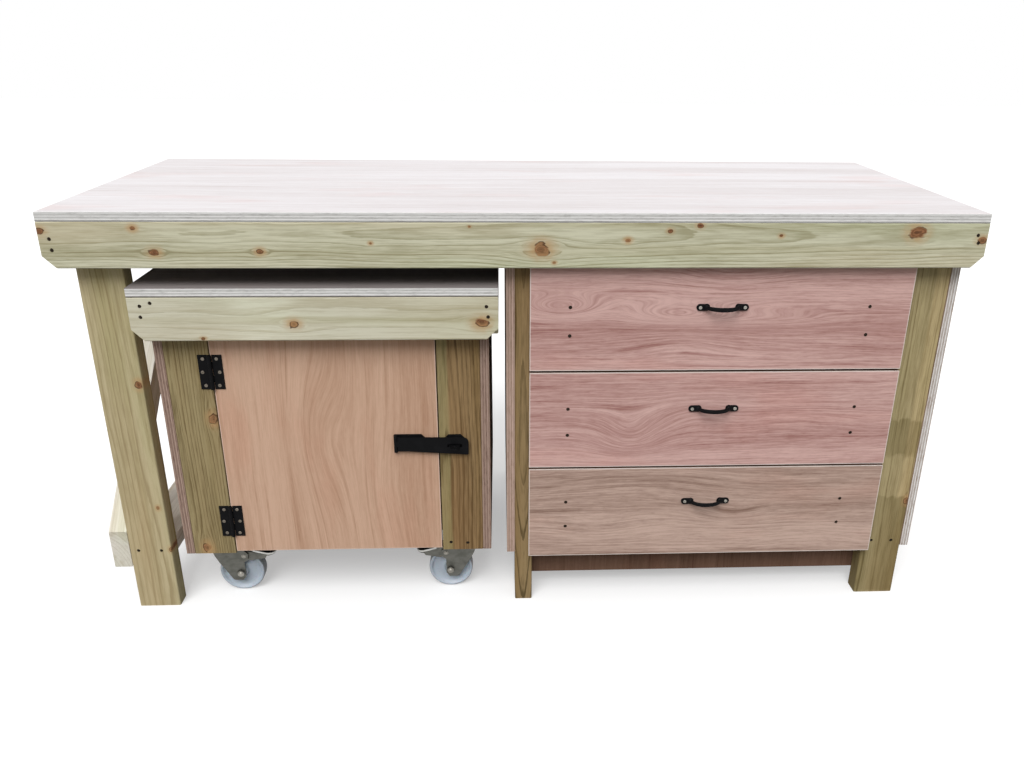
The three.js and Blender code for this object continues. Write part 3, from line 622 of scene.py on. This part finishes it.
def moulded(name, tint, axle, centre):
    """Nylon wheel: darkened on its tread partly by floor dirt and partly by painted shade, and on its hub by painted
    shade.
    """
    f = Finish(name)
    place = f.lay(axle, Z, centre)
    _, b, c = f.split(place)
    reach = f.math("SQRT", f.math("MULTIPLY_ADD", b, b, f.math("MULTIPLY", c, c)))
    scuff = f.noise(f.place, (160.0, 160.0, 160.0), 4.0, 0.65)
    # The tread is darkened partly by floor dirt and partly as painted shade.
    tread = f.math("MULTIPLY", f.span(reach, 0.0485, 0.0497), f.span(scuff, 0.3, 0.62, 0.55, 1.0))
    # Painted shade: the hub round the axle is darkened, as in the shade of the fork.
    hub_shade = f.span(reach, 0.0165, 0.0135)
    dirt_and_shade = f.tint(tint, 0.42, 0.40, 0.36)
    tone = f.mix(f.span(scuff, 0.5, 0.75, 0.0, 0.25), tint, dirt_and_shade)
    tone = f.mix(f.math("MULTIPLY", hub_shade, 0.7), tone, f.tint(tint, 0.4, 0.42, 0.42))
    f.set(Base_Color=f.mix(tread, tone, dirt_and_shade), Subsurface_Weight=0.1, Subsurface_Scale=0.01)
    f.set(Roughness=f.math("MULTIPLY_ADD", scuff, 0.3, 0.32))
    f.relief(scuff, 0.00006, 0.4)
    return f


def piece(name, bm, finish, body, smooth=0.7):
    """Turns a shape into a piece that rides on a body."""
    bmesh.ops.recalc_face_normals(bm, faces=bm.faces)
    mesh = bpy.data.meshes.new(name)
    bm.to_mesh(mesh)
    bm.free()
    mesh.shade_smooth()
    mesh.set_sharp_from_angle(angle=smooth)
    mesh.materials.append(finish.material)
    made = bpy.data.objects.new(name, mesh)
    bpy.context.scene.collection.objects.link(made)
    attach(made, body)
    return made


def facing(direction, point):
    """A place whose Z axis points along a direction."""
    return Matrix.Translation(point) @ Vector(direction).to_track_quat("Z", "Y").to_matrix().to_4x4()


def bevel(bm, edges, width, segments):
    """Rounds edges of a shape."""
    bmesh.ops.bevel(
        bm, geom=edges, offset=width, offset_type="OFFSET", affect="EDGES", segments=segments, profile=0.5,
        material=-1, clamp_overlap=True,
    )


def highest(bm):
    """The face of a shape that lies highest."""
    return max(bm.faces, key=lambda face: face.calc_center_median().z)


def mould(bm, name):
    """Keeps a small shape, standing on Z, for stamping."""
    mesh = bpy.data.meshes.new(name)
    bm.to_mesh(mesh)
    bm.free()
    return mesh


def stamp(bm, shape, place):
    """Adds a copy of a small shape at a place."""
    first = len(bm.verts)
    bm.from_mesh(shape)
    bm.verts.ensure_lookup_table()
    bmesh.ops.transform(bm, matrix=place, verts=bm.verts[first:])


def screw_head(name, radius, height):
    """A low domed screw head with a cross recess."""
    bm = bmesh.new()
    bmesh.ops.create_cone(
        bm, cap_ends=True, segments=16, radius1=radius, radius2=radius, depth=height,
        matrix=Matrix.Translation((0, 0, height / 2)),
    )
    bevel(bm, list(highest(bm).edges), height * 0.6, 3)
    top = highest(bm)
    bmesh.ops.inset_region(bm, faces=[top], thickness=radius * 0.2)
    for vert in top.verts:
        angle = math.atan2(vert.co.y, vert.co.x)
        reach = radius * (0.6 if abs(math.cos(2 * angle)) > 0.9 else 0.2)
        vert.co.x, vert.co.y = math.cos(angle) * reach, math.sin(angle) * reach
    sunk = bmesh.ops.extrude_discrete_faces(bm, faces=[top])["faces"][0]
    bmesh.ops.translate(bm, verts=sunk.verts, vec=(0, 0, -height * 0.7))
    return mould(bm, name)


def rivet_head(name, radius, height):
    """A round rivet head on a thin collar."""
    bm = bmesh.new()
    bmesh.ops.create_cone(
        bm, cap_ends=True, segments=24, radius1=radius * 1.35, radius2=radius * 1.25, depth=height * 0.3,
        matrix=Matrix.Translation((0, 0, height * 0.15)),
    )
    dome = bmesh.ops.create_uvsphere(
        bm, u_segments=24, v_segments=12, radius=1.0,
        matrix=Matrix.Translation((0, 0, height * 0.3)) @ Matrix.Diagonal((radius, radius, height * 0.7, 1.0)),
    )
    lower = [face for face in bm.faces if face.calc_center_median().z < height * 0.29 and face.verts[0] in dome["verts"]]
    bmesh.ops.delete(bm, geom=lower, context="FACES")
    return mould(bm, name)


def bolt_head(name, radius, height):
    """A hexagon bolt head on its washer."""
    bm = bmesh.new()
    bmesh.ops.create_cone(
        bm, cap_ends=True, segments=24, radius1=radius * 1.3, radius2=radius * 1.3, depth=height * 0.25,
        matrix=Matrix.Translation((0, 0, height * 0.125)),
    )
    bmesh.ops.create_cone(
        bm, cap_ends=True, segments=6, radius1=radius, radius2=radius, depth=height * 0.75,
        matrix=Matrix.Translation((0, 0, height * 0.625)),
    )
    bevel(bm, list(highest(bm).edges), height * 0.18, 2)
    return mould(bm, name)


class WORKBENCH_OT_timber(bpy.types.Operator):
    """Gives each rail, leg and stile its own cut of treated pine"""

    bl_idname = "workbench.timber"
    bl_label = "Finish Timber"

    def execute(self, context):
        looks = context.scene.workbench_timber
        for tone, nodes in TIMBER.items():
            early, late = getattr(looks, tone + "_early"), getattr(looks, tone + "_late")
            for node in nodes:
                along, across, centre, size = grain_of(node)
                if node == "brace_left":
                    along, across = Vector((0, 1, 1)).normalized(), Vector((0, -1, 1)).normalized()
                dress(node, pine(node, along, across, centre, self.knots(node), early, late, looks))
                ease(node, 0.0007)
        return {"FINISHED"}

    def knots(self, node):
        """Knots of a timber along and across its grain: those known on its front, or a few by chance."""
        along, across, centre, size = grain_of(node)
        if node in KNOTS:
            spots = [(Vector((x, centre.y, z)) - centre, radius) for x, z, radius in KNOTS[node]]
            return [(spot.dot(along), spot.dot(across), radius) for spot, radius in spots]
        dice = seeded("knots " + node)
        reach = abs(size.dot(along)) / 2
        side = min(abs(size.dot(across)) / 2, 0.045)
        return [(dice.uniform(-reach, reach), dice.uniform(-side, side), dice.uniform(0.003, 0.009)) for _ in range(4)]


class WORKBENCH_OT_boards(bpy.types.Operator):
    """Gives the worktop, panels, drawers and door their plywood"""

    bl_idname = "workbench.boards"
    bl_label = "Finish Boards"

    def execute(self, context):
        looks = context.scene.workbench_boards
        edge = (looks.edge_pale, looks.edge_dark)
        white = (looks.edge_white, looks.edge_grey)
        # Dark edge plies of drawer fronts and door: painted shade for the gaps between them.
        brown = (looks.edge_brown_gap_shade, looks.edge_dark)
        plans = {
            # The worktop's arris in white is a painted highlight where light catches its rounded front edge.
            "bench_top": (X, "worktop", white, 0.4, 0.24, looks.edge_white),
            # The cart top's face is drawn in painted shade, darker than its pale ply.
            "cart_top": (X, "shaded_shelf", white, 0.4, 0.3, None),
            "bay_panel_left": (Z, "panel", (looks.tan, looks.panel_grain), 0.5, 0.3, None),
            "bay_panel_right": (Z, "panel", (looks.edge_white, looks.panel_grain), 0.5, 0.3, None),
            "kick_board": (Z, "kick", edge, 0.5, 0.3, None),
            "drawer_lower_front": (X, "tan", brown, 0.5, 0.42, looks.arris),
            "drawer_middle_front": (X, "pink", brown, 0.5, 0.38, looks.arris),
            "drawer_upper_front": (X, "pink", brown, 0.42, 0.38, looks.arris),
            "cart_door": (Z, "door", brown, 0.42, 0.25, looks.door_arris),
            "cart_side_panel_left": (Z, "panel", edge, 0.5, 0.3, None),
            "cart_side_panel_right": (Z, "panel", edge, 0.5, 0.3, None),
            "cart_back_panel": (Z, "panel", edge, 0.5, 0.3, None),
        }
        for node, (along, tone, layers, contrast, fibre, arris) in plans.items():
            first, second, centre, size = grain_of(node)
            across = second if along == first else first
            figure = [self.swell(along, across, centre, *spot) for spot in FIGURES.get(node, ())]
            light, dark = getattr(looks, tone), getattr(looks, tone + "_grain")
            made = veneer(
                node, along, across, centre, size, light, dark, contrast, fibre, figure, layers, looks.layer, arris
            )
            dress(node, made)
            ease(node, 0.0006)
        for node in [f"drawer_{level}_box" for level in DRAWERS] + ["cart_base"]:
            along, across, centre, size = grain_of(node)
            dress(node, veneer(node, along, across, centre, size, looks.panel, looks.panel_grain))
            ease(node, 0.0006)
        return {"FINISHED"}

    def swell(self, along, across, centre, x, z, push, wide, high):
        """A swell of the figure along and across the grain of an upright board."""
        spot = Vector((x, centre.y, z)) - centre
        reach = Vector((wide, 0.0, high))
        return spot.dot(along), spot.dot(across), push, reach.dot(along), reach.dot(across)


class WORKBENCH_OT_pulls(bpy.types.Operator):
    """Builds a bow pull with screwed feet for each drawer"""

    bl_idname = "workbench.pulls"
    bl_label = "Build Pulls"

    def execute(self, context):
        looks = context.scene.workbench_metal
        black = painted("pull_paint", looks.black, 0.3)
        bright = plated("pull_screw", looks.bright, 0.3)
        head = screw_head("pull_screw_head", looks.head, 0.0014)
        for level in DRAWERS:
            node = f"drawer_{level}_pull"
            low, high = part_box(node)
            place = Matrix.Translation(((low.x + high.x) / 2, high.y, (low.z + high.z) / 2))
            half = (high.x - low.x) / 2
            bm = self.bow(looks, half, high.y - low.y, (high.z - low.z) / 2)
            bmesh.ops.transform(bm, matrix=place, verts=bm.verts)
            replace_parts(piece(f"bow_pull_{level}", bm, black, BODY_OF[node]), node)
            bm = bmesh.new()
            for side in (-1, 1):
                spot = place @ Vector((side * (half - 0.0078), -looks.pull_plate + 0.0002, 0.0))
                stamp(bm, head, facing(-Y, spot) @ Matrix.Rotation(0.5 * side, 4, "Z"))
            piece(f"pull_screws_{level}", bm, bright, BODY_OF[node], 0.5)
        return {"FINISHED"}

    def bow(self, looks, half, reach, tall):
        """A rounded bar bent out between two feet, each with a raised root."""
        bm = bmesh.new()
        root = half - looks.pull_foot + 0.005
        turn = Matrix.Rotation(math.pi / 2, 4, "X")
        ring = bmesh.ops.create_circle(
            bm, segments=20, radius=looks.pull_bar, matrix=Matrix.Translation((root, 0, 0)) @ turn
        )["verts"]
        edges = {edge for vert in ring for edge in vert.link_edges}
        bmesh.ops.spin(bm, geom=[*ring, *edges], cent=(0, 0, 0), axis=(0, 0, 1), angle=-math.pi, steps=40)
        bmesh.ops.scale(bm, vec=(1.0, reach / (root + looks.pull_bar), 1.15), verts=bm.verts)
        for vert in bm.verts:
            vert.co.z *= 0.85 + 0.3 * min(1.0, -vert.co.y / reach)
        bmesh.ops.holes_fill(bm, edges=[edge for edge in bm.edges if edge.is_boundary])
        for side in (-1, 1):
            self.foot(bm, looks, side * (half - looks.pull_foot / 2), tall)
            bmesh.ops.create_uvsphere(
                bm, u_segments=24, v_segments=14, radius=1.0,
                matrix=Matrix.Translation((side * root, -0.0012, 0.0003)) @ Matrix.Diagonal((0.0068, 0.0066, tall * 1.04, 1)),
            )
        behind = bmesh.ops.bisect_plane(
            bm, geom=[*bm.verts, *bm.edges, *bm.faces], plane_co=(0, -0.0001, 0), plane_no=Y, clear_outer=True
        )["geom_cut"]
        bmesh.ops.holes_fill(bm, edges=[edge for edge in behind if isinstance(edge, bmesh.types.BMEdge)])
        return bm

    def foot(self, bm, looks, x, tall):
        """A screw plate with round ends and a soft rim."""
        shape = Matrix.Translation((x, -looks.pull_plate / 2, 0))
        shape = shape @ Matrix.Diagonal((looks.pull_foot, looks.pull_plate, 2 * tall, 1.0))
        made = bmesh.ops.create_cube(bm, size=1.0, matrix=shape)["verts"]
        edges = {edge for vert in made for edge in vert.link_edges}
        bevel(bm, [e for e in edges if abs((e.verts[0].co - e.verts[1].co).normalized().y) > 0.9], tall * 0.97, 8)
        near = [face for face in bm.faces if face.normal.y < -0.9 and abs(face.calc_center_median().x - x) < 0.002]
        front = max(near, key=lambda face: face.calc_area())
        bevel(bm, list(front.edges), looks.pull_plate * 0.45, 3)


class WORKBENCH_OT_fittings(bpy.types.Operator):
    """Paints the hinges and the hasp and drives their screws"""

    bl_idname = "workbench.fittings"
    bl_label = "Finish Door Fittings"

    def execute(self, context):
        looks = context.scene.workbench_metal
        black = painted("fitting_paint", looks.black, 0.42)
        grey = plated("fitting_screw", looks.hinge_screw, 0.35)
        head = screw_head("fitting_screw_head", looks.head, 0.0012)
        for node in NODES:
            if node.startswith(("hinge", "hasp")):
                dress(node, black)
                ease(node, 0.0004)
        for level in ("upper", "lower"):
            for leaf in ("frame", "door"):
                node = f"hinge_{level}_{leaf}_leaf"
                low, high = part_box(node)
                wide = high.x - low.x
                bm = bmesh.new()
                for across, up in HINGE_SCREWS:
                    x = high.x - across * wide - 0.002 if leaf == "frame" else low.x + across * wide + 0.002
                    spot = (x, high.y - 0.0019, low.z + up * (high.z - low.z))
                    stamp(bm, head, facing(-Y, spot) @ Matrix.Rotation(5 * up + across, 4, "Z"))
                piece(f"hinge_screws_{level}_{leaf}", bm, grey, BODY_OF[node], 0.5)
        bm = bmesh.new()
        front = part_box("hasp_staple")[1].y - 0.0019
        for x, z in STAPLE_SCREWS:
            stamp(bm, head, facing(-Y, (x, front, z)))
        piece("staple_screws", bm, black, BODY_OF["hasp_staple"], 0.5)
        bm = bmesh.new()
        low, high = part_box("hasp_leaf")
        for inset, up in LEAF_SCREWS:
            stamp(bm, head, facing(-Y, (high.x - inset, high.y - 0.0019, low.z + up * (high.z - low.z))))
        piece("leaf_screws", bm, grey, BODY_OF["hasp_leaf"], 0.5)
        return {"FINISHED"}


class WORKBENCH_OT_screws(bpy.types.Operator):
    """Sets the screws in their holes in the boards"""

    bl_idname = "workbench.screws"
    bl_label = "Drive Screws"

    def execute(self, context):
        looks = context.scene.workbench_metal
        dull = plated("sunk_screw", looks.dull, 0.4)
        head = screw_head("sunk_screw_head", looks.sunk_head, 0.0012)
        for node in SUNK:
            bm = bmesh.new()
            for turn, place in enumerate(sunk_places(node, 0.0022)):
                stamp(bm, head, place @ Matrix.Rotation(0.7 * turn, 4, "Z"))
            piece(f"sunk_screws_{node}", bm, dull, BODY_OF[node], 0.5)
        return {"FINISHED"}


class WORKBENCH_OT_castors(bpy.types.Operator):
    """Turns the wheels, plates the forks and adds the grips, rivets and bolts"""

    bl_idname = "workbench.castors"
    bl_label = "Build Castors"

    def execute(self, context):
        looks = context.scene.workbench_metal
        zinc = plated("zinc_plate", looks.zinc, 0.36)
        bright = plated("castor_steel", looks.steel, 0.25)
        head = plated("castor_head", looks.bright, 0.3)
        grip = painted("pedal_grip", looks.grip, 0.5)
        rivet = rivet_head("rivet_head", 0.0042, 0.0026)
        axle = rivet_head("axle_head", 0.0056, 0.0036)
        bolt = bolt_head("bolt_head", 0.0065, 0.0055)
        for node in NODES:
            if node.startswith("caster"):
                if node.endswith("wheel"):
                    self.wheel(node, looks)
                else:
                    dress(node, zinc)
                    ease(node, 0.0005)
        for side, turn in zip(SIDES, (0.0, math.pi)):
            x, y, _ = PIVOTS[f"caster_{side}_swivel"]
            place = Matrix.Translation((x, y, 0)) @ Matrix.Rotation(turn, 4, "Z")
            bm = self.grip()
            bmesh.ops.transform(bm, matrix=place, verts=bm.verts)
            piece(f"pedal_grip_{side}", bm, grip, f"pedal_{side}")
            # The bright rim stands in for light on the pedal's edge: a painted highlight.
            bm = self.rim()
            bmesh.ops.transform(bm, matrix=place, verts=bm.verts)
            piece(f"pedal_rim_{side}", bm, bright, f"pedal_{side}")
            bm = bmesh.new()
            pivot = Vector(PIVOTS[f"brake_{side}_press"])
            wheel = Vector(PIVOTS[f"wheel_front_{side}_spin"])
            for out in (-1, 1):
                stamp(bm, rivet, facing(Y * out, pivot + Y * out * 0.0213))
                stamp(bm, axle, facing(Y * out, wheel + Y * out * 0.0263))
            piece(f"fork_heads_{side}", bm, head, f"fork_{side}")
        bm = bmesh.new()
        for name in ("front_left_plate", "front_right_plate", "rear_left_bracket", "rear_right_bracket"):
            low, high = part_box("caster_" + name)
            middle = (low + high) / 2
            wide, deep = (0.026, 0.036) if name.startswith("front") else (0.036, 0.026)
            for dx in (-wide, wide):
                for dy in (-deep, deep):
                    stamp(bm, bolt, facing(-Z, (middle.x + dx, middle.y + dy, high.z - 0.003)))
        piece("castor_bolts", bm, bright, "cart", 0.5)
        return {"FINISHED"}

    def wheel(self, node, looks):
        """A one-piece wheel turned from its section."""
        low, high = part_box(node)
        centre = (low + high) / 2
        axle = Y if high.y - low.y < high.x - low.x else X
        outline = [(r, -h) for r, h in WHEEL_SECTION] + [(r, h) for r, h in reversed(WHEEL_SECTION)]
        bm = bmesh.new()
        verts = [bm.verts.new((r / 1000, h / 1000, 0.0)) for r, h in outline]
        edges = [bm.edges.new((verts[i - 1], verts[i])) for i in range(len(verts))]
        bmesh.ops.spin(
            bm, geom=[*verts, *edges], cent=(0, 0, 0), axis=Y, angle=2 * math.pi, steps=72, use_merge=True
        )
        bmesh.ops.remove_doubles(bm, verts=bm.verts, dist=1e-6)
        turn = Matrix.Rotation(0.0 if axle == Y else math.pi / 2, 4, "Z")
        bmesh.ops.transform(bm, matrix=Matrix.Translation(centre) @ turn, verts=bm.verts)
        made = piece(node.replace("caster", "turned"), bm, moulded(node, looks.nylon, axle, centre), BODY_OF[node])
        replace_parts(made, node)

    def tread(self, radius):
        """The outline of a pedal's tread, with a round end, as one face."""
        bm = bmesh.new()
        ring = bmesh.ops.create_circle(
            bm, cap_ends=True, segments=40, radius=radius, matrix=Matrix.Translation((0.0838, 0, 0))
        )["verts"]
        for vert in ring:
            if vert.co.x < 0.0838:
                vert.co.x -= 0.024
        return bm

    def thicken(self, bm, height):
        """Raises the faces of a shape to a plate that follows the top of the pedal."""
        base = set(bm.verts)
        bmesh.ops.extrude_face_region(bm, geom=bm.faces[:], use_keep_orig=True)
        bmesh.ops.translate(bm, verts=[vert for vert in bm.verts if vert not in base], vec=(0, 0, height))
        bmesh.ops.recalc_face_normals(bm, faces=bm.faces)
        for step in range(10):
            bmesh.ops.bisect_plane(
                bm, geom=[*bm.verts, *bm.edges, *bm.faces], plane_co=(0.048 + 0.005 * step, 0, 0), plane_no=X
            )

    def drape(self, bm, lift):
        """Lays a flat shape on the top of the pedal."""
        for vert in bm.verts:
            vert.co.z += self.pedal_top(vert.co.x) + lift
        return bm

    def grip(self):
        """A black pad inside the rim of the pedal."""
        bm = self.tread(0.0158)
        self.thicken(bm, 0.0024)
        top = [edge for edge in bm.edges if all(vert.co.z > 0.002 for vert in edge.verts)]
        bevel(bm, [edge for edge in top if any(face.normal.z < 0.5 for face in edge.link_faces)], 0.0008, 3)
        return self.drape(bm, -0.0004)

    def rim(self):
        """A bead round the pad, in steel brighter than the zinc pedal: a painted highlight of the light caught on its
        top edge.
        """
        bm = self.tread(0.0180)
        middle = bm.faces[:]
        bmesh.ops.inset_region(bm, faces=middle, thickness=0.0016, use_boundary=True, use_even_offset=True)
        bmesh.ops.delete(bm, geom=middle, context="FACES")
        self.thicken(bm, 0.0042)
        return self.drape(bm, -0.0032)

    def pedal_top(self, x):
        """Height of the pedal's top at a distance from the swivel."""
        points = [(a / 1000, b / 1000) for a, b in PEDAL_TOP]
        for (a0, b0), (a1, b1) in zip(points, points[1:]):
            if x <= a1:
                return b0 + (b1 - b0) * (x - a0) / (a1 - a0)
        return points[-1][1]


class WORKBENCH_OT_stage(bpy.types.Operator):
    """Sets the floor, the light and the camera"""

    bl_idname = "workbench.stage"
    bl_label = "Set Stage"

    def execute(self, context):
        looks = context.scene.workbench_stage
        scene = context.scene
        scene.view_settings.view_transform = "Standard"
        bm = bmesh.new()
        bmesh.ops.create_grid(bm, x_segments=1, y_segments=1, size=14.0)
        mesh = bpy.data.meshes.new("floor")
        bm.to_mesh(mesh)
        bm.free()
        floor = bpy.data.objects.new("floor", mesh)
        scene.collection.objects.link(floor)
        f = Finish("floor")
        seen = self.seen(f)
        f.set(Base_Color=f.mix(seen, looks.bounce, looks.floor), Roughness=0.9, Specular_IOR_Level=0.0)
        f.set(Emission_Color=(1.0, 1.0, 1.0), Emission_Strength=f.math("MULTIPLY", seen, looks.glow))
        mesh.materials.append(f.material)

        world = bpy.data.worlds.new("studio")
        scene.world = world
        world.use_nodes = True
        f = Finish.__new__(Finish)
        f.tree = world.node_tree
        back = f.tree.nodes["Background"]
        back.inputs["Color"].default_value = (1.0, 1.0, 1.0, 1.0)
        seen = self.seen(f)
        height = f.wire_all(f.add("SeparateXYZ"), f.add("TexCoord").outputs["Generated"])[2]
        sky = f.wire(f.add("MapRange"), height, 0.0, 1.0, looks.skyline, looks.zenith)
        f.feed(back.inputs["Strength"], f.wire(f.add("MapRange"), seen, 0.0, 1.0, sky, 1.0))

        lamp = bpy.data.lights.new("sun", "SUN")
        lamp.energy = looks.sun
        lamp.angle = looks.sun_angle
        sun = bpy.data.objects.new("sun", lamp)
        sun.matrix_world = facing((-0.22, -0.72, 0.92), (-0.9, -3.0, 3.8))
        scene.collection.objects.link(sun)

        camera = bpy.data.objects.new("camera", bpy.data.cameras.new("camera"))
        camera.data.sensor_width = 36.0
        camera.data.lens = looks.lens
        camera.data.shift_x, camera.data.shift_y = -0.0324, -0.0076
        turn = Matrix.Rotation(math.radians(-3.09), 4, "Z") @ Matrix.Rotation(math.radians(68.21), 4, "X")
        turn = turn @ Matrix.Rotation(math.radians(0.75), 4, "Z")
        camera.matrix_world = Matrix.Translation(looks.eye) @ turn
        scene.collection.objects.link(camera)
        scene.camera = camera
        return {"FINISHED"}

    def seen(self, f):
        """1 for what the camera, a gloss or a clear surface shows."""
        path = f.add("LightPath")
        total = f.math("ADD", path.outputs["Is Camera Ray"], path.outputs["Is Glossy Ray"])
        total = f.math("ADD", total, path.outputs["Is Transmission Ray"])
        return f.math("MINIMUM", total, 1.0)


STEPS = (
    WORKBENCH_OT_timber, WORKBENCH_OT_boards, WORKBENCH_OT_screws, WORKBENCH_OT_pulls, WORKBENCH_OT_fittings,
    WORKBENCH_OT_castors, WORKBENCH_OT_stage,
)
GROUPS = {
    "workbench_timber": TimberLooks,
    "workbench_boards": BoardLooks,
    "workbench_metal": MetalLooks,
    "workbench_stage": StageLooks,
}


class WORKBENCH_PT_panel(bpy.types.Panel):
    """Sidebar panel of the workbench"""

    bl_label = "Workbench"
    bl_idname = "WORKBENCH_PT_panel"
    bl_space_type = "VIEW_3D"
    bl_region_type = "UI"
    bl_category = "Workbench"

    def draw(self, context):
        for step in STEPS:
            self.layout.operator(step.bl_idname)
        for group in GROUPS:
            box = self.layout.box()
            looks = getattr(context.scene, group)
            for name in looks.__annotations__:
                box.prop(looks, name)


def register():
    for made in (*GROUPS.values(), *STEPS, WORKBENCH_PT_panel):
        bpy.utils.register_class(made)
    for name, group in GROUPS.items():
        setattr(bpy.types.Scene, name, PointerProperty(type=group))


def unregister():
    for name in GROUPS:
        delattr(bpy.types.Scene, name)
    for made in (WORKBENCH_PT_panel, *reversed(STEPS), *reversed(GROUPS.values())):
        bpy.utils.unregister_class(made)


def main():
    register()
    for step in STEPS:
        group, call = step.bl_idname.split(".")
        getattr(getattr(bpy.ops, group), call)()


if __name__ == "__main__":
    main()
